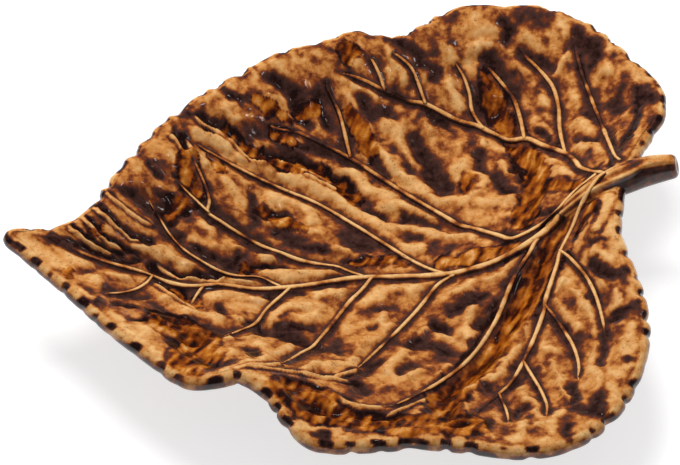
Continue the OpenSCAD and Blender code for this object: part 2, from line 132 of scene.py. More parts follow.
# The folds, each a route like a vein's, then its half width and its depth
# as shares of the widest and of the deepest fold's
FOLD_SHARES = (
    # long fold of the far half
    (((-0.201, 0.309), (-0.139, 0.259), (-0.054, 0.230), (-0.002, 0.196), (0.038, 0.134), (0.089, 0.100),
      (0.169, 0.064)), 0.75, 0.60),
    # crease beside the midrib
    (((-0.330, 0.005), (-0.253, -0.018), (-0.174, -0.008), (-0.105, 0.014), (-0.025, 0.018)), 0.70, 0.50),
    # wedge near the tip
    (((-0.310, -0.004), (-0.282, -0.042), (-0.253, -0.079), (-0.231, -0.110)), 0.70, 0.50),
    # trough along the near lobe's main vein
    (((0.320, -0.020), (0.277, -0.075), (0.232, -0.142), (0.203, -0.192), (0.163, -0.248), (0.123, -0.298),
      (0.089, -0.348), (0.078, -0.400)), 1.00, 1.00),
    # pooled streak of the far lobe
    (((0.274, 0.315), (0.285, 0.228), (0.296, 0.170), (0.285, 0.100), (0.262, 0.040)), 0.90, 0.80),
    # hollow under the wall near the tip
    (((-0.290, -0.170), (-0.262, -0.200), (-0.248, -0.250), (-0.225, -0.290)), 0.90, 0.60),
    # hollow along the near wall
    (((-0.130, -0.340), (-0.080, -0.385), (0.000, -0.400), (0.070, -0.420)), 0.85, 0.60),
    # hollow between the side veins of the near half
    (((-0.150, -0.150), (-0.110, -0.175), (-0.075, -0.205)), 0.80, 0.45),
    (((0.060, -0.205), (0.120, -0.170), (0.190, -0.165)), 0.80, 0.45),
    # hollows between the side veins of the far half
    (((-0.330, 0.115), (-0.265, 0.110), (-0.200, 0.090), (-0.130, 0.050)), 0.80, 0.45),
    (((-0.090, 0.275), (-0.060, 0.335), (-0.075, 0.375)), 0.80, 0.45),
    (((0.130, 0.270), (0.150, 0.200), (0.168, 0.160)), 0.80, 0.45),
)

# Narrow ridges of the wall, such as pleats that run in from the teeth: each a route like
# a vein's, then its half width and its height as shares of the widest and of the highest
RIDGE_SHARES = (
    # far wall, from the teeth down to the leaf
    (((-0.225, 0.308), (-0.201, 0.280), (-0.174, 0.270), (-0.160, 0.260), (-0.137, 0.235), (-0.115, 0.220),
      (-0.085, 0.210)), 0.50, 1.00),
    (((-0.240, 0.262), (-0.219, 0.230), (-0.214, 0.200), (-0.210, 0.170), (-0.205, 0.145),
      (-0.199, 0.115)), 0.36, 0.80),
    (((-0.251, 0.250), (-0.237, 0.230), (-0.231, 0.200)), 0.50, 0.80),
    (((-0.105, 0.243), (-0.078, 0.230), (-0.059, 0.223), (-0.023, 0.200), (0.005, 0.182)), 0.42, 0.90),
    (((-0.055, 0.205), (-0.023, 0.190), (0.005, 0.168)), 0.45, 0.80),
    # pleats beside the tip
    (((-0.450, 0.026), (-0.425, 0.005), (-0.406, -0.008), (-0.380, -0.011)), 0.45, 1.00),
    (((-0.424, 0.046), (-0.402, 0.022), (-0.380, 0.004), (-0.350, -0.004)), 0.40, 1.00),
    (((-0.402, 0.068), (-0.384, 0.042), (-0.360, 0.018), (-0.330, 0.006)), 0.40, 1.00),
    (((-0.386, 0.092), (-0.364, 0.062), (-0.335, 0.036), (-0.305, 0.024)), 0.36, 0.90),
    (((-0.362, 0.124), (-0.342, 0.094), (-0.315, 0.072), (-0.285, 0.056)), 0.36, 0.70),
    # beside the midrib
    (((-0.305, 0.005), (-0.274, -0.020), (-0.247, -0.033), (-0.215, -0.028), (-0.178, -0.022)), 0.45, 0.90),
    # forked end of the midrib
    (((-0.305, -0.038), (-0.283, -0.070), (-0.260, -0.095), (-0.237, -0.118)), 0.50, 0.90),
    # long ridges of the near wall, into which the side veins run
    (((-0.205, -0.310), (-0.173, -0.305), (-0.137, -0.300), (-0.100, -0.293), (-0.055, -0.296),
      (-0.015, -0.310)), 0.50, 0.90),
    (((-0.070, -0.332), (-0.052, -0.357), (-0.020, -0.368), (0.010, -0.366), (0.040, -0.348)), 0.60, 0.90),
    (((-0.010, -0.392), (0.020, -0.380), (0.050, -0.360), (0.080, -0.335)), 0.50, 0.80),
    (((-0.274, -0.215), (-0.260, -0.245), (-0.251, -0.272)), 0.60, 0.80),
    (((-0.315, -0.128), (-0.302, -0.150), (-0.285, -0.162), (-0.262, -0.172), (-0.240, -0.190),
      (-0.226, -0.215)), 0.45, 0.80),
    (((0.060, -0.440), (0.090, -0.425), (0.130, -0.428)), 0.50, 0.80),
    # where two side veins of the near half bend into the wall's ridges
    (((-0.132, -0.268), (-0.150, -0.288), (-0.185, -0.303), (-0.215, -0.312)), 0.50, 0.80),
    (((-0.020, -0.257), (-0.042, -0.280), (-0.085, -0.294), (-0.120, -0.298)), 0.50, 0.80),
    # near lobe, beside the notch
    (((0.392, 0.020), (0.372, -0.030), (0.350, -0.075)), 1.00, 0.60),
    (((0.345, -0.005), (0.322, -0.050), (0.312, -0.080)), 0.55, 0.60),
)

# Light crests of the leaf between its veins, and a painted sheen near the tip: a route in shares of the
# leaf's length and width, then half the stroke's width and its strength as shares of the full ones
CREST_AND_SHEEN_SHARES = (
    (((0.041, 0.345), (0.055, 0.300), (0.064, 0.265), (0.082, 0.235), (0.105, 0.200), (0.123, 0.165),
      (0.146, 0.140), (0.169, 0.125)), 0.55, 0.90),
    (((0.082, 0.305), (0.105, 0.285), (0.110, 0.265), (0.119, 0.240), (0.128, 0.220)), 0.45, 1.00),
    (((0.014, 0.210), (0.032, 0.205), (0.041, 0.180), (0.055, 0.165), (0.082, 0.155)), 0.50, 1.00),
    (((0.059, 0.130), (0.087, 0.135), (0.114, 0.120), (0.137, 0.100)), 0.57, 1.00),
    (((0.050, 0.085), (0.068, 0.085), (0.110, 0.080), (0.132, 0.060), (0.151, 0.045),
      (0.187, 0.040)), 0.55, 1.00),
    (((0.050, 0.085), (0.064, 0.055), (0.087, 0.035), (0.110, 0.025)), 0.55, 1.00),
    (((-0.078, 0.205), (-0.046, 0.185), (-0.014, 0.165), (0.014, 0.135), (0.037, 0.105),
      (0.055, 0.090)), 0.70, 1.00),
    (((0.151, 0.300), (0.155, 0.280)), 0.50, 0.70),
    (((0.196, 0.255), (0.196, 0.245)), 0.45, 0.80),
    (((0.233, 0.250), (0.233, 0.240)), 0.45, 0.90),
    (((0.201, 0.215), (0.187, 0.195)), 0.70, 0.90),
    (((0.210, 0.180), (0.224, 0.165), (0.210, 0.150), (0.196, 0.130), (0.183, 0.120)), 0.57, 0.90),
    (((0.210, 0.110), (0.233, 0.110), (0.251, 0.100)), 0.50, 0.90),
    (((0.219, 0.075), (0.224, 0.060)), 0.50, 0.50),
    (((0.256, 0.195), (0.260, 0.165)), 0.30, 0.90),
    (((0.306, 0.205), (0.320, 0.180), (0.333, 0.160)), 0.40, 1.00),
    (((0.333, 0.135), (0.342, 0.110)), 0.50, 1.00),
    (((0.379, 0.240), (0.393, 0.220), (0.402, 0.210)), 0.55, 1.00),
    (((0.374, 0.180), (0.393, 0.155), (0.402, 0.135)), 0.50, 1.00),
    (((0.429, 0.145), (0.429, 0.175)), 0.30, 0.70),
    (((0.384, 0.300), (0.388, 0.280)), 0.38, 0.80),
    (((0.429, 0.350), (0.443, 0.320)), 0.50, 1.00),
    (((0.452, 0.220), (0.447, 0.210)), 0.38, 0.70),
    (((0.342, 0.315), (0.342, 0.300)), 0.35, 0.80),
    (((0.320, 0.275), (0.333, 0.250), (0.342, 0.230)), 0.57, 0.60),
    (((0.251, 0.475), (0.265, 0.450)), 1.00, 0.70),
    (((0.196, 0.430), (0.210, 0.410), (0.224, 0.380)), 0.50, 0.80),
    (((0.196, 0.365), (0.205, 0.340), (0.215, 0.325)), 0.45, 1.00),
    (((0.256, 0.375), (0.256, 0.355)), 0.45, 0.80),
    (((0.237, 0.425), (0.265, 0.430)), 0.45, 0.90),
    (((0.301, 0.390), (0.320, 0.380), (0.333, 0.365)), 0.57, 0.70),
    (((0.329, 0.430), (0.347, 0.410)), 0.75, 0.80),
    (((0.365, 0.360), (0.384, 0.375), (0.397, 0.385)), 0.45, 0.80),
    (((0.384, 0.435), (0.393, 0.420)), 0.40, 0.80),
    (((0.416, 0.445), (0.420, 0.430)), 0.50, 0.80),
    (((0.447, 0.390), (0.452, 0.360)), 0.62, 0.80),
    (((0.470, 0.320), (0.484, 0.280)), 0.75, 0.70),
    (((0.146, 0.385), (0.160, 0.375)), 0.35, 0.90),
    (((0.110, 0.420), (0.123, 0.400), (0.128, 0.375)), 0.42, 1.00),
    (((0.100, 0.385), (0.105, 0.370)), 0.45, 0.80),
    (((0.037, 0.375), (0.059, 0.360), (0.078, 0.350)), 0.38, 0.80),
    (((0.009, -0.090), (0.037, -0.065), (0.064, -0.065), (0.091, -0.065), (0.114, -0.060)), 0.65, 1.00),
    (((0.151, -0.090), (0.169, -0.070)), 0.50, 0.90),
    (((0.196, -0.075), (0.205, -0.070)), 0.33, 0.80),
    (((0.215, -0.075), (0.237, -0.050)), 0.50, 1.00),
    (((0.027, -0.140), (0.032, -0.125)), 0.45, 0.90),
    (((0.037, -0.155), (0.032, -0.175), (0.018, -0.190), (0.005, -0.190)), 0.62, 1.00),
    (((0.055, -0.210), (0.041, -0.235), (0.023, -0.265)), 0.45, 1.00),
    (((0.046, -0.285), (0.064, -0.275)), 0.50, 1.00),
    (((0.164, -0.135), (0.146, -0.165), (0.151, -0.205)), 0.50, 0.90),
    (((0.100, -0.185), (0.110, -0.190)), 0.38, 0.80),
    (((0.078, -0.180), (0.091, -0.170)), 0.35, 0.70),
    (((0.110, -0.265), (0.096, -0.285), (0.082, -0.300)), 0.35, 0.90),
    (((0.146, -0.320), (0.169, -0.305)), 0.38, 1.00),
    (((0.123, -0.335), (0.132, -0.325)), 0.35, 0.80),
    (((0.228, -0.200), (0.210, -0.240), (0.196, -0.270), (0.178, -0.300)), 0.65, 0.85),
    (((0.292, -0.130), (0.283, -0.150)), 0.33, 1.00),
    (((0.279, -0.170), (0.283, -0.200), (0.297, -0.245)), 0.42, 0.80),
    (((0.306, -0.165), (0.315, -0.190), (0.320, -0.230), (0.320, -0.295)), 0.33, 0.80),
    (((0.256, -0.220), (0.247, -0.260), (0.260, -0.280)), 0.45, 0.80),
    (((0.251, -0.300), (0.256, -0.340), (0.256, -0.400)), 0.30, 0.80),
    (((0.233, -0.295), (0.237, -0.320)), 0.25, 0.60),
    (((0.297, -0.340), (0.301, -0.375), (0.297, -0.405)), 0.47, 0.80),
    (((0.201, -0.360), (0.210, -0.390), (0.215, -0.430)), 0.42, 0.80),
    (((0.100, -0.400), (0.114, -0.380)), 0.47, 0.80),
    (((0.397, 0.010), (0.393, -0.025), (0.384, -0.055), (0.379, -0.080)), 0.75, 1.00),
    (((0.384, 0.020), (0.361, 0.000)), 0.75, 1.00),
    (((0.352, -0.050), (0.352, -0.060)), 0.40, 0.90),
    (((0.347, -0.110), (0.361, -0.125), (0.379, -0.110)), 0.45, 1.00),
    (((0.333, -0.135), (0.347, -0.180)), 0.35, 0.70),
    (((0.361, -0.205), (0.352, -0.235)), 0.38, 0.90),
    (((0.379, -0.205), (0.384, -0.225)), 0.45, 0.70),
    (((0.365, -0.280), (0.356, -0.310), (0.347, -0.335)), 0.45, 1.00),
    (((0.333, -0.375), (0.352, -0.365)), 0.42, 1.00),
    (((0.320, -0.395), (0.315, -0.425)), 0.42, 0.90),
    (((0.160, -0.485), (0.178, -0.470), (0.187, -0.445)), 0.45, 1.00),
    (((0.210, -0.455), (0.228, -0.440), (0.251, -0.435), (0.265, -0.445)), 0.40, 1.00),
    (((0.219, -0.475), (0.224, -0.465)), 0.30, 0.90),
    (((0.201, -0.495), (0.210, -0.485)), 0.40, 0.90),
    (((0.137, -0.475), (0.128, -0.445)), 0.35, 0.80),
    (((0.041, -0.455), (0.059, -0.455)), 0.35, 0.90),
    (((0.288, -0.455), (0.265, -0.480)), 0.50, 0.70),
    (((-0.105, 0.150), (-0.091, 0.160), (-0.068, 0.150), (-0.050, 0.130), (-0.046, 0.105)), 0.50, 1.00),
    (((-0.114, 0.105), (-0.087, 0.100), (-0.064, 0.090), (-0.041, 0.080)), 0.60, 0.70),
    (((-0.169, 0.175), (-0.164, 0.155), (-0.146, 0.135)), 0.45, 0.90),
    (((-0.160, 0.195), (-0.142, 0.180)), 0.45, 0.70),
    (((-0.215, 0.225), (-0.201, 0.205)), 0.33, 1.00),
    (((-0.210, 0.255), (-0.183, 0.250), (-0.164, 0.245)), 0.45, 1.00),
    (((-0.146, 0.230), (-0.142, 0.225)), 0.30, 0.90),
    (((-0.123, 0.220), (-0.100, 0.210)), 0.38, 1.00),
    (((-0.160, 0.315), (-0.151, 0.295), (-0.137, 0.290)), 0.38, 0.70),
    (((-0.128, 0.345), (-0.110, 0.360), (-0.091, 0.340), (-0.068, 0.325)), 0.88, 0.55),
    (((-0.219, 0.090), (-0.210, 0.075), (-0.201, 0.075)), 0.50, 0.90),
    (((-0.237, 0.050), (-0.215, 0.040), (-0.192, 0.050), (-0.178, 0.060)), 0.70, 0.55),
    (((-0.174, 0.045), (-0.164, 0.045)), 0.30, 0.80),
    (((-0.201, 0.010), (-0.192, 0.010)), 0.30, 0.80),
    (((-0.320, 0.015), (-0.306, 0.020), (-0.288, 0.015), (-0.274, 0.020), (-0.260, 0.000),
      (-0.242, -0.005)), 0.50, 0.90),
    (((-0.132, 0.025), (-0.119, 0.030)), 0.33, 1.00),
    (((-0.128, -0.010), (-0.100, -0.015), (-0.073, -0.010), (-0.046, -0.010),
      (-0.018, -0.015)), 0.55, 1.00),
    (((-0.242, -0.035), (-0.205, -0.030), (-0.174, -0.030), (-0.151, -0.030)), 0.30, 0.90),
    (((-0.265, 0.235), (-0.256, 0.210), (-0.242, 0.200)), 0.60, 0.60),
    (((-0.037, 0.235), (-0.027, 0.230)), 0.42, 0.60),
    (((-0.142, 0.100), (-0.155, 0.120), (-0.174, 0.135)), 0.57, 0.50),
    (((-0.132, 0.065), (-0.123, 0.055)), 0.38, 0.70),
    (((-0.059, 0.055), (-0.023, 0.045), (0.000, 0.040)), 0.45, 0.80),
    # Painted sheen: a pale band by the tip that stands for a reflection in the trough there
    (((-0.478, 0.030), (-0.452, 0.016), (-0.432, 0.000), (-0.411, -0.020)), 0.45, 1.00),
    (((-0.484, 0.005), (-0.452, -0.020), (-0.429, -0.040), (-0.416, -0.020), (-0.397, -0.025)), 0.75, 1.00),
    (((-0.215, -0.075), (-0.196, -0.060), (-0.169, -0.065)), 0.62, 1.00),
    (((-0.155, -0.080), (-0.142, -0.075)), 0.45, 1.00),
    (((-0.187, -0.130), (-0.178, -0.125)), 0.50, 0.80),
    (((-0.132, -0.125), (-0.123, -0.105), (-0.105, -0.095), (-0.082, -0.090)), 0.57, 1.00),
    (((-0.100, -0.125), (-0.068, -0.120), (-0.064, -0.095)), 0.62, 0.65),
    (((-0.059, -0.065), (-0.027, -0.060)), 0.50, 1.00),
    (((-0.265, -0.130), (-0.251, -0.115), (-0.233, -0.120), (-0.215, -0.140)), 0.55, 1.00),
    (((-0.283, -0.095), (-0.279, -0.085)), 0.42, 0.90),
    (((-0.361, -0.045), (-0.338, -0.050)), 0.42, 0.80),
    (((-0.388, -0.085), (-0.379, -0.065)), 0.47, 0.90),
    (((-0.416, -0.100), (-0.397, -0.125)), 0.40, 0.90),
    (((-0.365, -0.165), (-0.352, -0.180)), 0.50, 1.00),
    (((-0.356, -0.200), (-0.329, -0.210), (-0.306, -0.185), (-0.288, -0.180)), 0.70, 1.00),
    (((-0.333, -0.230), (-0.315, -0.260)), 0.62, 0.95),
    (((-0.269, -0.180), (-0.247, -0.185)), 0.33, 0.70),
    (((-0.215, -0.240), (-0.205, -0.240)), 0.62, 1.00),
    (((-0.210, -0.200), (-0.201, -0.190)), 0.25, 0.90),
    (((-0.155, -0.210), (-0.151, -0.240), (-0.137, -0.230), (-0.114, -0.210)), 0.50, 1.00),
    (((-0.151, -0.255), (-0.169, -0.280), (-0.192, -0.300), (-0.210, -0.305)), 0.45, 1.00),
    (((-0.174, -0.190), (-0.164, -0.180)), 0.33, 0.80),
    (((-0.082, -0.255), (-0.100, -0.280)), 0.40, 1.00),
    (((-0.064, -0.255), (-0.041, -0.255), (-0.023, -0.240)), 0.47, 1.00),
    (((-0.032, -0.165), (-0.032, -0.150)), 0.57, 0.70),
    (((-0.014, -0.200), (-0.014, -0.215)), 0.30, 0.80),
    (((-0.215, -0.310), (-0.174, -0.330), (-0.155, -0.350), (-0.151, -0.380)), 0.45, 1.00),
    (((-0.123, -0.425), (-0.100, -0.420)), 0.47, 1.00),
    (((-0.091, -0.460), (-0.059, -0.455)), 0.45, 1.00),
    (((-0.032, -0.460), (-0.018, -0.460)), 0.38, 0.90),
    (((-0.018, -0.415), (-0.005, -0.410)), 0.35, 0.70),
    (((-0.096, -0.405), (-0.078, -0.400)), 0.33, 0.60),
    (((0.005, -0.445), (0.014, -0.440)), 0.33, 0.70),
)

# Dark hollows, written as the crests are
HOLLOW_SHARES = (
    (((0.478, 0.255), (0.468, 0.200), (0.440, 0.148), (0.412, 0.100), (0.398, 0.070)), 0.32, 1.20),
    (((0.114, 0.445), (0.132, 0.430), (0.151, 0.415), (0.164, 0.395), (0.174, 0.385)), 0.70, 0.90),
    (((0.059, 0.340), (0.068, 0.315), (0.096, 0.320)), 0.70, 1.00),
    (((0.132, 0.265), (0.142, 0.230), (0.151, 0.190), (0.160, 0.170)), 0.75, 1.00),
    (((0.110, 0.220), (0.119, 0.205)), 0.35, 0.80),
    (((0.151, 0.325), (0.174, 0.305), (0.192, 0.290)), 0.33, 1.00),
    (((0.233, 0.355), (0.242, 0.330), (0.256, 0.300)), 0.70, 1.00),
    (((0.265, 0.405), (0.274, 0.380), (0.288, 0.355), (0.301, 0.335)), 0.60, 1.00),
    (((0.301, 0.465), (0.301, 0.435)), 0.50, 1.00),
    (((0.329, 0.465), (0.365, 0.460)), 0.88, 0.60),
    (((0.228, 0.230), (0.224, 0.195)), 0.50, 0.90),
    (((0.269, 0.220), (0.279, 0.200), (0.274, 0.175)), 0.35, 0.90),
    (((0.242, 0.170), (0.251, 0.140), (0.260, 0.120)), 0.53, 1.00),
    (((0.324, 0.250), (0.338, 0.230)), 0.30, 1.00),
    (((0.347, 0.385), (0.361, 0.375)), 0.42, 0.90),
    (((0.388, 0.390), (0.397, 0.390)), 0.28, 0.70),
    (((0.411, 0.420), (0.416, 0.400), (0.429, 0.370), (0.420, 0.345)), 0.70, 0.90),
    (((0.374, 0.210), (0.374, 0.200)), 0.35, 0.80),
    (((0.388, 0.190), (0.402, 0.180)), 0.40, 0.80),
    (((0.438, 0.255), (0.447, 0.235)), 0.57, 0.90),
    (((0.479, 0.250), (0.489, 0.230)), 0.75, 1.00),
    (((0.027, 0.300), (0.027, 0.260)), 0.30, 0.80),
    (((-0.009, 0.260), (0.014, 0.245), (0.037, 0.225)), 0.57, 1.00),
    (((0.055, 0.235), (0.078, 0.205)), 0.42, 0.90),
    (((0.005, 0.065), (0.027, 0.045)), 0.70, 1.00),
    (((-0.009, 0.015), (0.027, 0.015)), 0.33, 0.90),
    (((0.041, 0.130), (0.064, 0.105)), 0.35, 1.00),
    (((0.091, 0.110), (0.142, 0.080)), 0.38, 0.80),
    (((0.091, 0.060), (0.110, 0.055)), 0.50, 0.70),
    (((0.279, 0.150), (0.297, 0.165)), 0.38, 0.90),
    (((0.279, 0.095), (0.306, 0.100)), 0.57, 0.90),
    (((0.279, 0.040), (0.311, 0.035)), 0.38, 1.00),
    (((0.237, 0.025), (0.251, 0.005)), 0.35, 1.10),
    (((0.374, 0.095), (0.388, 0.095)), 0.30, 1.00),
    (((0.128, -0.135), (0.151, -0.120), (0.178, -0.110)), 0.53, 1.00),
    (((0.105, -0.155), (0.119, -0.175)), 0.47, 1.00),
    (((0.169, -0.175), (0.183, -0.165)), 0.65, 1.00),
    (((0.187, -0.145), (0.196, -0.130)), 0.30, 1.00),
    (((0.064, -0.200), (0.091, -0.210), (0.114, -0.230)), 0.62, 1.00),
    (((0.082, -0.245), (0.128, -0.240)), 0.70, 0.55),
    (((0.023, -0.110), (0.050, -0.105)), 0.57, 0.60),
    (((0.005, -0.155), (0.018, -0.150)), 0.33, 0.70),
    (((0.260, -0.085), (0.279, -0.055)), 0.40, 1.10),
    (((0.242, -0.130), (0.219, -0.155), (0.201, -0.165)), 0.45, 1.10),
    (((0.169, -0.250), (0.151, -0.270)), 0.50, 1.20),
    (((0.215, -0.190), (0.192, -0.210)), 0.35, 1.00),
    (((0.119, -0.310), (0.091, -0.335)), 0.42, 1.10),
    (((0.123, -0.355), (0.091, -0.370)), 0.35, 1.00),
    (((0.091, -0.390), (0.087, -0.410)), 0.38, 1.00),
    (((0.365, -0.090), (0.347, -0.080)), 0.30, 0.90),
    (((0.342, -0.125), (0.356, -0.160), (0.384, -0.165)), 0.50, 1.00),
    (((0.329, -0.185), (0.338, -0.210)), 0.42, 1.00),
    (((0.352, -0.250), (0.379, -0.240)), 0.50, 1.00),
    (((0.333, -0.275), (0.324, -0.310), (0.315, -0.340)), 0.42, 0.90),
    (((0.352, -0.355), (0.347, -0.345)), 0.30, 0.80),
    (((0.283, -0.225), (0.288, -0.260)), 0.25, 0.90),
    (((0.210, -0.315), (0.183, -0.335), (0.164, -0.345)), 0.35, 0.90),
    (((0.151, -0.335), (0.151, -0.325)), 0.38, 0.80),
    (((0.196, -0.395), (0.183, -0.410)), 0.47, 0.90),
    (((0.269, -0.370), (0.265, -0.410)), 0.42, 0.90),
    (((0.297, -0.420), (0.288, -0.445), (0.265, -0.430)), 0.70, 1.00),
    (((0.242, -0.485), (0.247, -0.470)), 0.40, 1.00),
    (((0.142, -0.440), (0.146, -0.425)), 0.42, 0.80),
    (((0.032, -0.265), (0.059, -0.260)), 0.45, 0.80),
    (((0.014, -0.240), (-0.014, -0.270)), 0.47, 0.90),
    (((-0.151, 0.340), (-0.128, 0.330)), 0.47, 1.00),
    (((-0.200, 0.296), (-0.164, 0.282), (-0.151, 0.270), (-0.137, 0.250), (-0.123, 0.236), (-0.100, 0.226),
      (-0.080, 0.215)), 0.36, 1.30),
    (((-0.119, 0.280), (-0.091, 0.275), (-0.064, 0.255), (-0.027, 0.260), (0.000, 0.250)), 0.70, 0.80),
    (((-0.118, 0.240), (-0.091, 0.245), (-0.064, 0.241), (-0.046, 0.236), (-0.023, 0.217), (0.000, 0.202),
      (0.020, 0.180)), 0.34, 1.30),
    (((-0.082, 0.375), (-0.064, 0.365), (-0.046, 0.345), (-0.037, 0.305)), 0.65, 1.00),
    (((-0.014, 0.345), (0.000, 0.300)), 0.65, 1.00),
    (((-0.119, 0.120), (-0.091, 0.120)), 0.45, 1.20),
    (((-0.132, 0.155), (-0.137, 0.120), (-0.137, 0.095)), 0.45, 0.90),
    (((-0.196, 0.120), (-0.164, 0.090), (-0.132, 0.060)), 0.55, 1.00),
    (((-0.105, 0.080), (-0.068, 0.055), (-0.037, 0.045)), 0.57, 1.00),
    (((-0.283, 0.180), (-0.274, 0.165)), 0.47, 1.00),
    (((-0.247, 0.170), (-0.228, 0.155), (-0.215, 0.130), (-0.210, 0.115)), 0.38, 1.00),
    (((-0.279, 0.130), (-0.256, 0.125)), 0.47, 0.80),
    (((-0.320, 0.120), (-0.292, 0.100), (-0.269, 0.110)), 0.70, 0.90),
    (((-0.283, 0.080), (-0.269, 0.060), (-0.251, 0.055)), 0.60, 0.90),
    (((-0.247, 0.105), (-0.237, 0.105)), 0.35, 0.90),
    (((-0.412, 0.042), (-0.390, 0.018), (-0.365, 0.006), (-0.342, 0.000)), 0.20, 1.20),
    (((-0.392, 0.064), (-0.370, 0.034), (-0.345, 0.016), (-0.318, 0.010)), 0.22, 1.20),
    (((-0.372, 0.090), (-0.348, 0.060), (-0.325, 0.042), (-0.300, 0.036)), 0.30, 1.10),
    (((-0.228, 0.035), (-0.205, 0.020), (-0.174, 0.015), (-0.164, 0.025)), 0.57, 1.00),
    (((-0.297, -0.010), (-0.265, -0.025), (-0.228, -0.020), (-0.192, -0.015), (-0.164, -0.005),
      (-0.137, 0.010), (-0.100, 0.010)), 0.30, 1.20),
    (((-0.422, 0.014), (-0.388, -0.003), (-0.356, -0.011), (-0.315, -0.003)), 0.30, 1.20),
    (((-0.288, -0.030), (-0.265, -0.050), (-0.256, -0.075)), 0.47, 1.20),
    (((-0.196, 0.265), (-0.183, 0.265)), 0.25, 1.00),
    (((-0.242, 0.255), (-0.228, 0.235)), 0.25, 1.00),
    (((-0.114, 0.185), (-0.087, 0.185)), 0.30, 0.80),
    (((-0.205, -0.115), (-0.205, -0.095)), 0.35, 0.90),
    (((-0.174, -0.140), (-0.164, -0.130)), 0.33, 0.90),
    (((-0.132, -0.065), (-0.123, -0.060)), 0.35, 0.90),
    (((-0.100, -0.060), (-0.082, -0.055)), 0.33, 0.80),
    (((-0.155, -0.155), (-0.123, -0.170), (-0.091, -0.185)), 0.70, 1.00),
    (((-0.123, -0.145), (-0.100, -0.150), (-0.078, -0.145)), 0.40, 1.20),
    (((-0.046, -0.190), (-0.050, -0.215), (-0.068, -0.200)), 0.55, 0.90),
    (((-0.082, -0.285), (-0.064, -0.280)), 0.33, 0.80),
    (((-0.037, -0.305), (-0.018, -0.325)), 0.47, 0.90),
    (((-0.178, -0.220), (-0.169, -0.250)), 0.45, 1.00),
    (((-0.205, -0.280), (-0.228, -0.285)), 0.60, 0.80),
    (((-0.237, -0.265), (-0.233, -0.295)), 0.47, 1.10),
    (((-0.288, -0.225), (-0.269, -0.240)), 0.57, 1.20),
    (((-0.260, -0.210), (-0.237, -0.205)), 0.35, 1.10),
    (((-0.260, -0.285), (-0.251, -0.275)), 0.35, 1.00),
    (((-0.274, -0.160), (-0.247, -0.160), (-0.233, -0.180)), 0.35, 1.20),
    (((-0.306, -0.135), (-0.283, -0.135)), 0.33, 1.20),
    (((-0.361, -0.135), (-0.333, -0.130)), 0.30, 1.10),
    (((-0.338, -0.175), (-0.324, -0.170)), 0.33, 1.00),
    (((-0.388, -0.140), (-0.384, -0.130)), 0.30, 1.00),
    (((-0.306, -0.110), (-0.274, -0.140), (-0.242, -0.150), (-0.210, -0.165)), 0.65, 0.65),
    (((-0.347, -0.100), (-0.315, -0.090)), 0.47, 0.80),
    (((-0.402, -0.055), (-0.374, -0.030)), 0.50, 0.50),
    (((-0.132, -0.330), (-0.091, -0.330)), 0.42, 1.10),
    (((-0.137, -0.365), (-0.114, -0.380), (-0.068, -0.380), (-0.023, -0.385), (0.014, -0.395)), 0.38, 1.20),
    (((-0.055, -0.420), (-0.037, -0.415)), 0.38, 1.00),
    (((-0.100, -0.415), (-0.073, -0.420)), 0.33, 0.90),
    (((-0.018, -0.440), (0.014, -0.425), (0.046, -0.430)), 0.30, 1.10),
    (((-0.105, -0.445), (-0.091, -0.440)), 0.47, 1.00),
    (((0.091, -0.435), (0.119, -0.435)), 0.35, 1.00),
)

# Clear amber pools of glaze, written as the crests are
AMBER_SHARES = (
    (((0.262, 0.372), (0.268, 0.338), (0.272, 0.300), (0.284, 0.265), (0.292, 0.228), (0.299, 0.190),
      (0.303, 0.150), (0.292, 0.110), (0.276, 0.070), (0.265, 0.040)), 0.68, 1.00),
    (((0.320, 0.100), (0.347, 0.070)), 0.62, 0.70),
    (((0.338, 0.010), (0.301, -0.040), (0.265, -0.095), (0.233, -0.145), (0.201, -0.195),
      (0.164, -0.250), (0.123, -0.300), (0.091, -0.350), (0.078, -0.400), (0.073, -0.430)), 1.00, 1.00),
    (((0.128, -0.020), (0.174, -0.015), (0.210, -0.020), (0.247, -0.025)), 0.55, 0.90),
    (((0.009, 0.010), (0.041, 0.005), (0.078, 0.005)), 0.38, 0.80),
    (((-0.228, 0.215), (-0.224, 0.180), (-0.219, 0.155)), 0.55, 1.00),
    (((-0.188, 0.222), (-0.180, 0.200)), 0.32, 1.00),
    (((-0.108, 0.328), (-0.064, 0.310)), 0.36, 1.00),
    (((-0.092, 0.286), (-0.055, 0.267)), 0.34, 1.00),
    (((-0.040, 0.318), (-0.018, 0.330)), 0.42, 1.00),
    (((0.041, 0.415), (0.055, 0.428)), 0.48, 1.00),
    (((0.037, 0.310), (0.050, 0.275), (0.059, 0.250)), 0.50, 0.90),
    (((-0.128, -0.350), (-0.091, -0.360)), 1.12, 1.00),
    (((-0.110, -0.385), (-0.046, -0.400), (0.000, -0.420), (0.064, -0.430), (0.114, -0.440)), 1.00, 0.90),
    (((-0.292, -0.165), (-0.260, -0.180), (-0.247, -0.210), (-0.251, -0.245),
      (-0.265, -0.285)), 1.25, 1.00),
    (((-0.420, -0.070), (-0.420, -0.050)), 0.25, 1.00),
    (((-0.265, 0.090), (-0.247, 0.120), (-0.228, 0.135)), 0.65, 0.60),
    (((-0.385, 0.030), (-0.372, 0.036)), 0.30, 1.00),
    (((-0.120, 0.128), (-0.091, 0.100), (-0.062, 0.086)), 0.42, 0.55),
    (((-0.160, 0.275), (-0.128, 0.250), (-0.082, 0.225), (-0.037, 0.220), (0.000, 0.195),
      (0.027, 0.155)), 0.40, 0.80),
    (((0.201, 0.170), (0.196, 0.150)), 0.50, 0.70),
    (((-0.274, -0.060), (-0.242, -0.090)), 0.40, 0.80),
    (((-0.169, -0.005), (-0.128, 0.010)), 0.25, 0.80),
)

# Where the glaze's streaks fan out from, as a share of the leaf's length
FAN_SHARE = 0.38

# How much of a vein's height is its broad foot; the rest is its round back
VEIN_FOOT_SHARE = 0.45

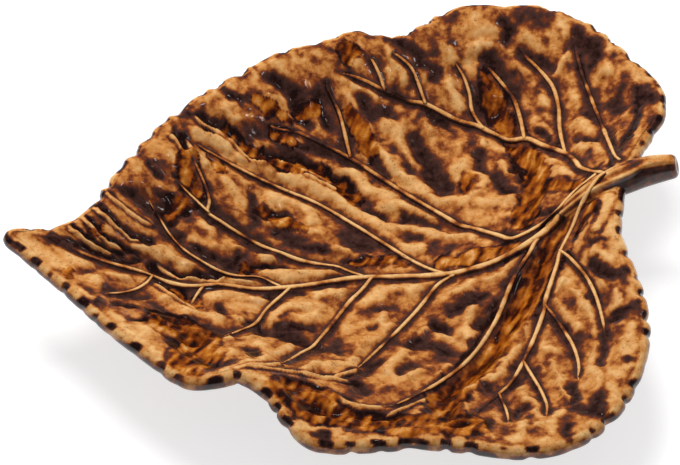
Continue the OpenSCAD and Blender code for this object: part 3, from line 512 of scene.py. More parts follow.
# The stem: shares of the way from its root to its cut end, of the leaf's width,
# of the end's height and of the stem's radius
STEM_ROOT_SHARE = 0.293
NOTCH_SHARE = 0.400
STEM_SHARES = (
    (0.000, 0.006, 0.520, 0.38), (0.162, 0.017, 0.640, 0.54), (0.345, 0.031, 0.740, 0.78),
    (0.522, 0.041, 0.805, 0.94), (0.650, 0.046, 0.845, 1.00), (0.762, 0.049, 0.880, 1.00),
    (0.875, 0.048, 0.910, 0.93), (1.000, 0.042, 0.955, 0.80),
)
# Ridges that the veins leave on the stem: where each lies round it, in shares of a
# turn from its far side over its top, its height as a share of the stem's radius,
# and how far it runs towards the cut end
STEM_RIDGE_SHARES = ((0.13, 0.11, 0.80), (0.21, 0.10, 0.70), (0.33, 0.14, 1.30), (0.46, 0.10, 0.45))

# Profile of the foot ring from its inner edge to its outer edge, as shares of the
# way across it and of its height; it stands on the flat between the rounded corners
FOOT_SHARES = (
    (0.00, 1.30), (0.00, 1.00), (0.05, 0.72), (0.10, 0.46), (0.15, 0.22), (0.19, 0.07), (0.25, 0.00),
    (0.50, 0.00), (0.75, 0.00), (0.81, 0.07), (0.85, 0.22), (0.90, 0.46), (0.95, 0.72), (1.00, 1.00),
    (1.00, 1.30),
)

# Where the pinches of the rim are faint: a place in shares of the leaf's length and
# width, and how far from it they are faint as a share of the length
CALM_SHARES = (
    (0.400, 0.000, 0.13), (-0.495, 0.020, 0.08), (-0.440, -0.080, 0.14), (-0.330, -0.240, 0.12),
    (-0.200, -0.320, 0.08), (0.500, 0.245, 0.10), (0.300, 0.490, 0.07),
)

# The stem's cut end: the rings of its face as shares of its radius, and how far all but
# the first of them sink as shares of the face's hollow
CUT_END_SHARES = (0.60, 0.44, 0.27, 0.12)
CUT_HOLLOW_SHARES = (0.5, 0.9, 1.0)
# Angles of the rings of its rounded edge, in degrees
CUT_TURNS = (15, 35, 55, 72)
# How far a ridge of the stem spreads round it, as a share of a turn
STEM_RIDGE_SPREAD_SHARE = 0.035

# Counts of points round the rim, for its own rings and for its pull on the leaf
RIM_STATIONS = 1024
PULL_STATIONS = 512
# Spots whose pull is worked out at a time
PULL_BATCH = 4096
# Rings of the inside, and the last one's share of the way from the middle to the rim
FACE_RINGS = 128
FACE_EDGE_SHARE = 0.985
# Angles of the rim's rings round its centre line, in degrees, from the inside over the top
BEAD_ANGLES = (105, 92, 78, 62, 44, 26, 8, -10, -28, -46, -65)
# Points in the rings of the underside, and the first one's share of the way to the rim
BELLY_COUNTS = (768,) + (512,) * 26
BELLY_EDGE_SHARE = 0.95
# Rings inside the foot's seat: their points, and their share of the way to the seat
SEAT_SHARES = ((384, 0.85), (256, 0.65), (160, 0.45), (96, 0.27), (32, 0.1))
# Points round a vein, round the stem and round the foot ring
VEIN_SIDES = 12
STEM_SIDES = 96
FOOT_STEPS = 256

# The wall rises as this power of the way to the rim, inside and underneath
WALL_POWER = 1.7
# A vein's round back: its height as a share of its width, its steps, and the step
# over which the leaf's slope is measured
VEIN_TALL_SHARE = 0.85
VEIN_STEP = 0.9 * MM
SLOPE_STEP = 0.6 * MM
# How far before its route it starts
VEIN_ROOT = 0.5 * MM
# How near to a vein's route a spot has to be, and the most that counts as its gap
VEIN_REACH = 9 * MM
EDGE_LIMIT = 8 * MM
# The groove beside a vein: how far its middle is from the vein's back, its half width
# and its depth
GROOVE_GAP = 0.9 * MM
GROOVE_WIDTH = 0.8 * MM
GROOVE_DEPTH = 0.28 * MM
# How far the glazed stem stays within its solid
STEM_MARGIN = 0.35 * MM
# Depth of the marks that turning leaves on the foot ring
TURNING_MARK = 0.05 * MM

# Random fields: the size of the hills, the seed, and the number of layers
LUMP_CLOUD = (9 * MM, 21, 3)
BROAD_CLOUD = (22 * MM, 41, 2)
FLOW_CLOUD = (5 * MM, 51, 3)
SMALL_CLOUD = (3 * MM, 81, 2)
RIM_CLOUD = (6 * MM, 44, 3)
BELLY_CLOUD = (18 * MM, 71, 4)
VEIN_CLOUD = (12 * MM, 61, 3)
STEM_CLOUD = (9 * MM, 12, 3)
# The square lattice of random slopes under them, and where the leaf lies on it
LATTICE = 128
LATTICE_START = (61.3, 57.7)

# Depths of the glaze, from 0 where it is thinnest to 1 where it is deepest
PLAIN_GLAZE = 0.485
CREST_GLAZE = 0.18
RIDGE_GLAZE = 0.20
GATHERED_GLAZE = 0.86
POOL_GLAZE = 0.56
RIM_GLAZE = 0.22
# Glaze of the rim's outer side, darkened with painted shade
LOW_RIM_GLAZE_AND_SHADE = 0.60
# Glaze of the underside, darkened with painted shade
BELLY_GLAZE_AND_SHADE = 0.66
# Glaze on a vein's top, kept pale as a painted highlight too
VEIN_TOP_GLAZE_AND_HIGHLIGHT = 0.11
STEM_GLAZE = 0.26
CUT_GLAZE = 0.32
CUT_EDGE_GLAZE = 0.72
# The dark spots between the rim's teeth: the angle round the rim of their middle, and
# how far they spread from it, in degrees
SPOT_ANGLE = 55
SPOT_SPREAD = 46

# The camera: its lens and sensor in millimetres, its place and what it looks at
LENS = 162
SENSOR_WIDTH = 36
CAMERA_SPOT = (-0.0992, -0.7308, 0.6893)
CAMERA_AIM = (-0.00243, 0.01179, 0.015)
NEAREST_SEEN = 0.05
# The lamps: place, width, and whether the gloss shows it
KEY_LAMP = ((-0.15, 0.60, 1.05), 0.60, False)
GLINT_LAMP = ((0.55, 0.10, 0.95), 0.07, True)
FLOOR_REACH = 4.0
# Light that the floor seems to add to what falls on it, and the world's light on the dish
FLOOR_GLOW = 0.70
WORLD_LIGHT = 0.26


def hex_to_linear(code):
    """Linear colour with alpha 1 from an sRGB hex code: each channel through the sRGB curve."""
    srgb = np.array([int(code[i:i + 2], 16) for i in (1, 3, 5)]) / 255
    linear = np.where(srgb <= 0.04045, srgb / 12.92, ((srgb + 0.055) / 1.055) ** 2.4)
    return (*linear.tolist(), 1.0)


def length(label, text, default):
    """A length property in metres."""
    return bpy.props.FloatProperty(
        name=label, description=text, default=default, unit="LENGTH", precision=4
    )


def share(label, text, default):
    """A property between 0 and 1."""
    return bpy.props.FloatProperty(
        name=label, description=text, default=default, min=0, max=1, subtype="FACTOR"
    )


def power(label, text, default):
    """A lamp's power in watts."""
    return bpy.props.FloatProperty(name=label, description=text, default=default, unit="POWER")


def colour(label, text, code):
    """A colour property with an sRGB hex code as its default."""
    return bpy.props.FloatVectorProperty(
        name=label, description=text, default=hex_to_linear(code), size=4, min=0, max=1, subtype="COLOR"
    )


class LeafDishSizes(bpy.types.PropertyGroup):
    """Sizes of the dish, those of the CAD model and those of its finer relief."""

    leaf_length: length("Leaf length", "Blade from tip to lobes, at the rim's centre line", 0.219)
    leaf_width: length("Leaf width", "Blade across both lobes, at the rim's centre line", 0.200)
    tooth_pitch: length("Tooth pitch", "Pitch of the crimped teeth along the rim", 0.009)
    tooth_depth: length("Tooth depth", "How far a tooth stands out from its valleys", 0.0014)
    rim_height: length("Rim height", "Rim's centre line above the table, at its highest", 0.033)
    rim_radius: length("Rim radius", "Radius of the rounded rim", 0.0032)
    rim_glaze: length("Rim hollowing", "How far the rim's facets are hollowed under the CAD model's", 0.0005)
    floor_thickness: length("Floor thickness", "Clay in the middle of the floor", 0.006)
    wall_reach: length("Wall reach", "How far the wall runs in from the rim", 0.062)
    belly_reach: length("Belly reach", "How far the underside runs in from the rim", 0.052)
    vein_half_width: length("Vein half width", "Half the width of the thickest vein's foot", 0.004)
    vein_relief: length("Vein relief", "How high the thickest vein stands", 0.0016)
    vein_back: length("Vein back", "Half the width of the thickest vein's round back", 0.0017)
    fold_half_width: length("Fold half width", "Half the width of the widest fold", 0.007)
    fold_depth: length("Fold depth", "Depth of the deepest fold", 0.0024)
    stroke_half_width: length("Stroke half width", "Half the width of a full crest or hollow", 0.004)
    ridge_half_width: length("Ridge half width", "Half the width of the widest ridge of the wall", 0.0026)
    ridge_rise: length("Ridge rise", "Height of the highest ridge of the wall", 0.001)
    pleat_depth: length("Pleat depth", "How far a valley between teeth runs on into the wall", 0.0009)
    pool_step: length("Pool step", "How far a clear pool of glaze stands at its edge", 0.0001)
    crest_rise: length("Crest rise", "How far a crest stands out between the veins", 0.0010)
    hollow_depth: length("Hollow depth", "How far a hollow sinks between the veins", 0.0011)
    quilting: length("Quilting", "How far the leaf swells between its veins", 0.0007)
    lumps: length("Lumps", "Height of the pressed clay's lumps", 0.0003)
    stem_radius: length("Stem radius", "Radius of the stem where it crosses the rim", 0.0056)
    stem_overhang: length("Stem overhang", "How far the stem stands out from the notch", 0.019)
    stem_lift: length("Stem lift", "Cut end's middle above the rim's highest level", 0.003)
    stem_end_round: length("Stem end rounding", "Rounded edge of the stem's cut end", 0.002)
    foot_radius: length("Foot radius", "Outer radius of the foot ring where it joins the blade", 0.033)
    foot_height: length("Foot height", "Height of the foot ring", 0.003)
    foot_width: length("Foot width", "Width of the foot ring where it joins the blade", 0.007)


class LeafDishFinish(bpy.types.PropertyGroup):
    """Colours of the glaze, the clay and the studio."""

    thin_glaze: colour("Thin glaze", "Glaze on raised clay", "#FDCB88")
    caramel_glaze: colour("Caramel glaze", "Glaze of middling thickness", "#D68D46")
    tawny_glaze: colour("Tawny glaze", "Glaze where it starts to gather", "#AB602B")
    brown_glaze: colour("Brown glaze", "Glaze on the slopes", "#78391E")
    # Greyed with a painted sheen, for the reflection of a bright overhead
    dark_glaze: colour("Dark glaze", "Glaze in the hollows", "#4F312A")
    pooled_glaze: colour("Pooled glaze", "Deepest glaze", "#1D0704")
    pale_amber: colour("Pale amber", "Thin edge of a clear pool", "#D07F28")
    amber_glaze: colour("Amber glaze", "Clear pool of glaze", "#9C4B08")
    deep_amber: colour("Deep amber", "Deep part of a clear pool", "#4C1903")
    iron_specks: colour("Iron specks", "Small specks of iron in the glaze", "#5A2A16")
    gloss: share("Gloss roughness", "Roughness of the fired glaze", 0.09)
    bare_clay: colour("Bare clay", "Unglazed foot", "#C49A6C")
    floor: colour("Floor", "Studio floor", "#C6C6C6")
    key_lamp: power("Key lamp", "Power of the large soft lamp overhead", 13.5)
    glint_lamp: power("Glint lamp", "Power of the small lamp that draws the highlights", 0.15)


# Curves and random fields

def smooth_curve(points, steps, closed=False):
    """Catmull-Rom curve through the points, with steps places to each.

    Between b and c, with neighbours a and d and the way f from 0 to 1, it is half of
    2b + (c - a) f + (2a - 5b + 4c - d) f^2 + (3b - 3c + d - a) f^3.
    """
    p = np.asarray(points, float)
    n = len(p)
    first = np.arange(n if closed else n - 1)
    if closed:
        near = [(first + k) % n for k in (-1, 0, 1, 2)]
    else:
        near = [np.clip(first + k, 0, n - 1) for k in (-1, 0, 1, 2)]
    a, b, c, d = (p[k][:, None] for k in near)
    f = (np.arange(steps) / steps)[None, :, None]
    curve = (2 * b + (c - a) * f + (2 * a - 5 * b + 4 * c - d) * f**2 + (3 * b - 3 * c + d - a) * f**3) / 2
    curve = curve.reshape(-1, p.shape[1])
    return curve if closed else np.vstack([curve, p[-1:]])


def even_places(curve, count):
    """The curve at count + 1 even steps of its length in plan, both ends kept, and that length."""
    run = np.concatenate([[0], np.cumsum(np.hypot(*np.diff(curve[:, :2], axis=0).T))])
    at = np.linspace(0, run[-1], count + 1)
    return np.stack([np.interp(at, run, column) for column in curve.T], 1), run[-1]


def round_again(ring, count):
    """A closed ring of points read at count even places of its numbering."""
    at = np.arange(count) / count * len(ring)
    closed = np.vstack([ring, ring[:1]])
    return np.stack([np.interp(at, np.arange(len(closed)), column) for column in closed.T], 1)


def ripple(x, y, size, seed):
    """Smooth random heights between -1 and 1, with hills about size across.

    Each corner of a square lattice has a random slope; between corners the slopes'
    heights are mixed with the weight 6f^5 - 15f^4 + 10f^3.
    """
    turn = np.random.default_rng(seed).uniform(0, 2 * np.pi, (LATTICE, LATTICE))
    u = x / size + LATTICE_START[0]
    v = y / size + LATTICE_START[1]
    i = np.floor(u).astype(int)
    j = np.floor(v).astype(int)
    fu = u - i
    fv = v - j
    wu = fu**3 * (fu * (6 * fu - 15) + 10)
    wv = fv**3 * (fv * (6 * fv - 15) + 10)
    corner = []
    for a, b in ((0, 0), (0, 1), (1, 0), (1, 1)):
        slope = turn[(i + a) % LATTICE, (j + b) % LATTICE]
        corner.append(np.cos(slope) * (fu - a) + np.sin(slope) * (fv - b))
    low = corner[0] * (1 - wv) + corner[1] * wv
    high = corner[2] * (1 - wv) + corner[3] * wv
    return 1.6 * (low * (1 - wu) + high * wu)


def cloud(x, y, size, seed, layers):
    """Sum of ripples, each half as large and high as the last and turned by 0.65 of a radian."""
    turn = 0.65
    c = np.cos(turn)
    s = np.sin(turn)
    total = np.zeros_like(x)
    for k in range(layers):
        total += ripple(x, y, size / 2**k, seed + k) / 2**k
        x, y = c * x - s * y, s * x + c * y
    return total


def ease(value, low, high):
    """0 below low, 1 above high, and 3f^2 - 2f^3 between them."""
    f = np.clip((value - low) / (high - low), 0, 1)
    return f * f * (3 - 2 * f)


def round_max(a, b, size):
    """The larger of a and b with a round corner: half of a + b + sqrt((a - b)^2 + size^2) - size."""
    return (a + b + np.sqrt((a - b) ** 2 + size**2) - size) / 2


# The leaf's broad form, the same as the CAD model's

def plan_scale(sizes):
    """What a share of the leaf's length and one of its width are worth."""
    return np.array([sizes.leaf_length, sizes.leaf_width])


def rim_line(sizes, count):
    """The rim's centre line at even steps in plan, the outward direction at each, and its length."""
    scale = (*plan_scale(sizes), sizes.rim_height)
    fine = smooth_curve(np.array(RIM_SHARES) * scale, 12, closed=True)
    line, around = even_places(np.vstack([fine, fine[:1]]), count)
    line = line[:-1]
    along = np.roll(line, -1, 0)[:, :2] - np.roll(line, 1, 0)[:, :2]
    along /= np.linalg.norm(along, axis=1, keepdims=True)
    return line, np.stack([along[:, 1], -along[:, 0]], 1), around


def rim_pull(spots, sizes):
    """Smooth distance from the rim and the height of the rim that counts at each spot.

    A stretch of rim pulls with step / (gap^2 + radius^2)^2. The distance is the sum over
    pi/2 to the power -1/3, less the rim's radius, and the height is the pulls' mean height.
    """
    rim, _, around = rim_line(sizes, PULL_STATIONS)
    distance = []
    level = []
    for part in np.array_split(spots, len(spots) // PULL_BATCH + 1):
        gap = (part[:, None, 0] - rim[None, :, 0]) ** 2 + (part[:, None, 1] - rim[None, :, 1]) ** 2
        pull = around / PULL_STATIONS / (gap + sizes.rim_radius**2) ** 2
        total = pull.sum(1)
        distance.append(np.maximum((total / (np.pi / 2)) ** (-1 / 3) - sizes.rim_radius, 0))
        level.append(pull @ rim[:, 2] / total)
    return np.concatenate(distance), np.concatenate(level)


def middle_of(sizes):
    """The middle of the floor and of the foot ring in plan."""
    return np.array(MIDDLE_SHARES) * plan_scale(sizes)


def face_height(distance, level, sizes):
    """Height of the dish's inside: floor + (rim's top - floor) (1 - distance / reach)^power."""
    floor = sizes.foot_height + sizes.floor_thickness
    rise = (1 - np.minimum(distance / sizes.wall_reach, 1)) ** WALL_POWER
    return floor + (level + sizes.rim_radius - sizes.rim_glaze - floor) * rise


def belly_height(spots, sizes):
    """Height of the underside: level over the foot ring, then rising as the inside does.

    It ends 0.85 of the rim's radius under the rim's centre line.
    """
    distance, level = rim_pull(spots, sizes)
    out = np.linalg.norm(spots - middle_of(sizes), axis=1) - sizes.foot_radius - sizes.rim_radius / 2
    rise = (1 - np.minimum(distance / sizes.belly_reach, 1)) ** WALL_POWER
    lift = (level - 0.85 * sizes.rim_radius - sizes.foot_height) * rise
    return sizes.foot_height + np.clip(out / sizes.foot_width, 0, 1) * lift


# Relief of veins, folds, crests and hollows

def route_reach(spots, route, reach):
    """The spots nearer to a route in plan than reach, their gaps from it, and the share of its length.

    On each straight step from a to b the nearest place has the share (p - a)(b - a) / |b - a|^2,
    held between 0 and 1. The step with the smallest gap counts.
    """
    line = smooth_curve(route, 4)[:, :2]
    near = np.flatnonzero(((spots > line.min(0) - reach) & (spots < line.max(0) + reach)).all(1))
    a = line[:-1]
    step = line[1:] - a
    gap = np.full(len(near), np.inf)
    along = np.zeros(len(near))
    for k in range(len(a)):
        way = spots[near] - a[k]
        f = np.clip(way @ step[k] / (step[k] @ step[k]), 0, 1)
        here = np.hypot(*(way - f[:, None] * step[k]).T)
        closer = here < gap
        gap = np.where(closer, here, gap)
        along = np.where(closer, (k + f) / len(a), along)
    keep = gap < reach
    return near[keep], gap[keep], along[keep]


def stroke_field(spots, table, sizes):
    """How strongly a table's strokes reach each spot: strength times 1 - gap / twice the half width."""
    field = np.zeros(len(spots))
    for route, width, strength in table:
        reach = 2 * width * sizes.stroke_half_width
        near, gap, _ = route_reach(spots, np.array(route) * plan_scale(sizes), reach)
        field[near] = np.maximum(field[near], strength * (1 - gap / reach))
    return field


def vein_field(spots, sizes):
    """Lift of the veins' broad feet, and the gap from the nearest vein's round back, with a limit.

    The lift is half the relief times 1 + cos(pi gap / half width), most on a vein's middle line.
    """
    lift = np.zeros(len(spots))
    edge = np.full(len(spots), EDGE_LIMIT)
    for route, thick, thin in VEIN_SHARES:
        near, gap, along = route_reach(spots, np.array(route) * plan_scale(sizes), VEIN_REACH)
        width = thick + (thin - thick) * along
        off = np.minimum(gap / (width * sizes.vein_half_width), 1)
        lift[near] = np.maximum(lift[near], sizes.vein_relief * width * (1 + np.cos(np.pi * off)) / 2)
        fade = 3 * MM * ease(along, 0.9, 1.0)
        edge[near] = np.minimum(edge[near], gap - width * sizes.vein_back + fade)
    return VEIN_FOOT_SHARE * lift, edge


def fold_drop(spots, sizes):
    """How far the folds sink the clay: half the depth times 1 + cos(pi gap / half width)."""
    drop = np.zeros(len(spots))
    for route, width, depth in FOLD_SHARES:
        reach = width * sizes.fold_half_width
        near, gap, _ = route_reach(spots, np.array(route) * plan_scale(sizes), reach)
        here = sizes.fold_depth * depth * (1 + np.cos(np.pi * gap / reach)) / 2
        drop[near] = np.maximum(drop[near], here)
    return drop


def ridge_field(spots, sizes):
    """Lift of the wall's ridges, and how strongly one reaches each spot, 1 on its middle line.

    The lift is half the height times 1 + cos(pi gap / half width), and the reach is
    1 - gap / twice the half width. The half width falls to 0.65 of itself along the route,
    but not under 1 mm, and both die away over the last fifth at either end.
    """
    lift = np.zeros(len(spots))
    field = np.zeros(len(spots))
    for route, width, height in RIDGE_SHARES:
        reach = 2 * width * sizes.ridge_half_width
        near, gap, along = route_reach(spots, np.array(route) * plan_scale(sizes), reach)
        half = np.maximum(reach / 2 * (1 - 0.35 * along), 1 * MM)
        ends = ease(along, 0, 0.2) * ease(-along, -1.0, -0.8)
        here = height * sizes.ridge_rise * ends * (1 + np.cos(np.pi * np.minimum(gap / half, 1))) / 2
        lift[near] = np.maximum(lift[near], here)
        field[near] = np.maximum(field[near], ends * np.maximum(1 - gap / (2 * half), 0))
    return lift, field


def stem_line(sizes):
    """The stem's centre line and radius through its listed points, root first."""
    root = STEM_ROOT_SHARE * sizes.leaf_length
    reach = NOTCH_SHARE * sizes.leaf_length + sizes.stem_overhang
    table = np.array(STEM_SHARES)
    return np.column_stack([
        root + table[:, 0] * (reach - root),
        table[:, 1] * sizes.leaf_width,
        table[:, 2] * (sizes.rim_height + sizes.stem_lift),
        table[:, 3] * sizes.stem_radius,
    ])


def stem_skirt(spots, height, sizes):
    """The height with the slip that fills the corner beside the stem: axis - 0.15 radius - gap / 2."""
    line = stem_line(sizes)
    near, gap, along = route_reach(spots, line, 16 * MM)
    fine = smooth_curve(line, 4)
    at = np.linspace(0, 1, len(fine))
    slope = np.interp(along, at, fine[:, 2]) - 0.15 * np.interp(along, at, fine[:, 3]) - 0.5 * gap
    filled = height.copy()
    filled[near] = np.maximum(height[near], round_max(height[near], slope, 2 * MM))
    return filled


def leaf_surface(spots, sizes):
    """Height of the glazed inside at spots in plan, the glaze's depth there and how amber it is.

    The height is the dish's, plus the veins' feet, less the folds, plus the ridges, crests,
    quilting, lumps and pools, less the hollows. These die away next to a vein and at the rim.
    Glaze runs off crests and ridges (towards 0) and gathers in hollows, along veins and
    at the edges of pools (towards 1). One pale stroke near the tip is a painted sheen.
    """
    x, y = spots.T
    distance, level = rim_pull(spots, sizes)
    lift, edge = vein_field(spots, sizes)
    # Strokes stray by up to 2 mm, as glaze that has run
    stray = np.column_stack([
        1.3 * ripple(x, y, 6 * MM, seed) + 0.7 * ripple(x, y, 2.4 * MM, seed + 2) for seed in (31, 32)
    ]) * MM
    # The crests include the painted sheen near the tip
    crest = stroke_field(spots + stray, CREST_AND_SHEEN_SHARES, sizes)
    hollow = stroke_field(spots + stray, HOLLOW_SHARES, sizes)
    pool = stroke_field(spots + 1.5 * stray, AMBER_SHARES, sizes)
    ridge, ridged = ridge_field(spots + 0.4 * stray, sizes)
    fold = fold_drop(spots, sizes)
    lumps = cloud(x, y, *LUMP_CLOUD)
    broad = cloud(x, y, *BROAD_CLOUD)
    # Streaks that fan out from the stem's root, 50 mm from it about 2.6 times as long as wide
    way = FAN_SHARE * sizes.leaf_length - x
    flow = cloud(np.hypot(way, y) / 2.6, np.arctan2(y, way) * 50 * MM, *FLOW_CLOUD)
    # Small mottles, stronger on the far lobe
    small = cloud(x, y, *SMALL_CLOUD) * (0.7 + 1.1 * ease(y, 25 * MM, 75 * MM))
    free = ease(edge, 0, 2.4 * MM)
    inner = ease(distance, 0.5 * MM, 6 * MM)
    groove = np.exp(-(((edge - GROOVE_GAP) / GROOVE_WIDTH) ** 2))
    between = (
        sizes.quilting * (ease(edge, 0, 7 * MM) - 0.3)
        + sizes.crest_rise * ease(crest, 0, 0.9)
        - sizes.hollow_depth * ease(hollow, 0, 1.0)
        + sizes.lumps * lumps
        + sizes.pool_step * ease(pool, 0.18, 0.30)
    )
    height = face_height(distance, level, sizes) + (lift - fold) * ease(distance, 0, 4 * MM)
    height += (between * free - GROOVE_DEPTH * groove) * inner
    height += ridge * ease(distance, 0.3 * MM, 2 * MM) * free
    height = stem_skirt(spots, height, sizes)

    glaze = PLAIN_GLAZE + 0.12 * lumps + 0.08 * broad + 0.18 * flow + 0.10 * small
    glaze += 0.14 * fold / sizes.fold_depth
    glaze -= (glaze - CREST_GLAZE) * ease(crest, 0.20, 0.85)
    glaze += (GATHERED_GLAZE + 0.14 * ease(hollow, 0.70, 1.15) - glaze) * ease(hollow, 0.12, 0.80)
    # A ridge is thinly glazed and has a dark line on either side
    glaze += 0.30 * ease(ridged, 0.05, 0.35) * ease(-ridged, -0.75, -0.45)
    glaze -= (glaze - RIDGE_GLAZE) * ease(ridged, 0.55, 0.85)
    # A dark line runs along either side of a vein, 0.8 to 1.9 mm wide
    reach = (1.25 + 0.7 * np.clip(broad, -0.6, 0.9)) * MM
    outline = np.exp(-((np.maximum(edge, 0) / reach) ** 1.8)) * (0.95 + 0.30 * lumps)
    glaze += (GATHERED_GLAZE - glaze) * np.clip(outline, 0, 1)
    # A clear pool is dark at its edge and of middling depth inside
    glaze += 0.32 * ease(pool, 0.10, 0.18) * ease(-pool, -0.55, -0.22)
    glaze += (POOL_GLAZE - glaze) * 0.7 * ease(pool, 0.25, 0.50)
    return height, glaze, ease(pool, 0.16, 0.36) * ease(edge, 0.3 * MM, 1.5 * MM)


# Meshes

def ring_strip(first, count, after, size):
    """Triangles between closed rings of count and size points, in the order of their middles."""
    outer = (np.arange(count) + 0.5) / count
    inner = (np.arange(size) + 0.5) / size
    triangles = []
    if count > 1:
        i = np.arange(count)
        j = np.searchsorted(inner, outer, side="left")
        triangles.append(np.stack([first + i, first + (i + 1) % count, after + j % size], 1))
    if size > 1:
        j = np.arange(size)
        i = np.searchsorted(outer, inner, side="right")
        triangles.append(np.stack([first + i % count, after + (j + 1) % size, after + j], 1))
    return np.vstack(triangles)


def skin_faces(counts):
    """Triangles of a closed skin over rings with these numbers of points, pole to pole."""
    firsts = np.concatenate([[0], np.cumsum(counts)])
    return np.vstack([
        ring_strip(firsts[k], counts[k], firsts[k + 1], counts[k + 1]) for k in range(len(counts) - 1)
    ])


def outward(points, faces):
    """The triangles turned to face outwards: the sum of a . (b x c) over them is then above zero."""
    a, b, c = (points[faces[:, k]] for k in range(3))
    return faces if np.einsum("ij,ij->", a, np.cross(b, c)) > 0 else faces[:, ::-1]


def add_piece(name, points, faces, fields, replaced, material):
    """Makes a smooth mesh object of the points and triangles, with named values at its points."""
    mesh = bpy.data.meshes.new(name)
    mesh.vertices.add(len(points))
    mesh.vertices.foreach_set("co", np.asarray(points, np.float32).ravel())
    mesh.loops.add(faces.size)
    mesh.loops.foreach_set("vertex_index", faces.astype(np.int32).ravel())
    mesh.polygons.add(len(faces))
    mesh.polygons.foreach_set("loop_start", np.arange(0, faces.size, 3, dtype=np.int32))
    mesh.update(calc_edges=True)
    mesh.validate()
    mesh.polygons.foreach_set("use_smooth", np.ones(len(faces), bool))
    for label, values in fields.items():
        layer = mesh.attributes.new(label, "FLOAT", "POINT")
        layer.data.foreach_set("value", np.asarray(values, np.float32))
    mesh.materials.append(material)
    piece = bpy.data.objects.new(name, mesh)
    bpy.context.scene.collection.objects.link(piece)
    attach(piece, "root")
    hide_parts(replaced)


# Materials

def add_node(tree, kind, inputs=None, stops=None, **settings):
    """Adds a node with its settings.

    An input is a value or the socket that feeds it, and the stops are a colour ramp's.
    """
    node = tree.nodes.new(kind)
    for label, value in settings.items():
        setattr(node, label, value)
    for place, code in stops or ():
        at = node.color_ramp.elements
        element = at[0] if place == 0 else at[-1] if place == 1 else at.new(place)
        element.color = code
    for label, value in (inputs or {}).items():
        if isinstance(value, bpy.types.NodeSocket):
            tree.links.new(value, node.inputs[label])
        else:
            node.inputs[label].default_value = value
    return node


def new_material(name):
    """An empty node material and its tree."""
    material = bpy.data.materials.new(name)
    material.use_nodes = True
    material.node_tree.nodes.clear()
    return material, material.node_tree


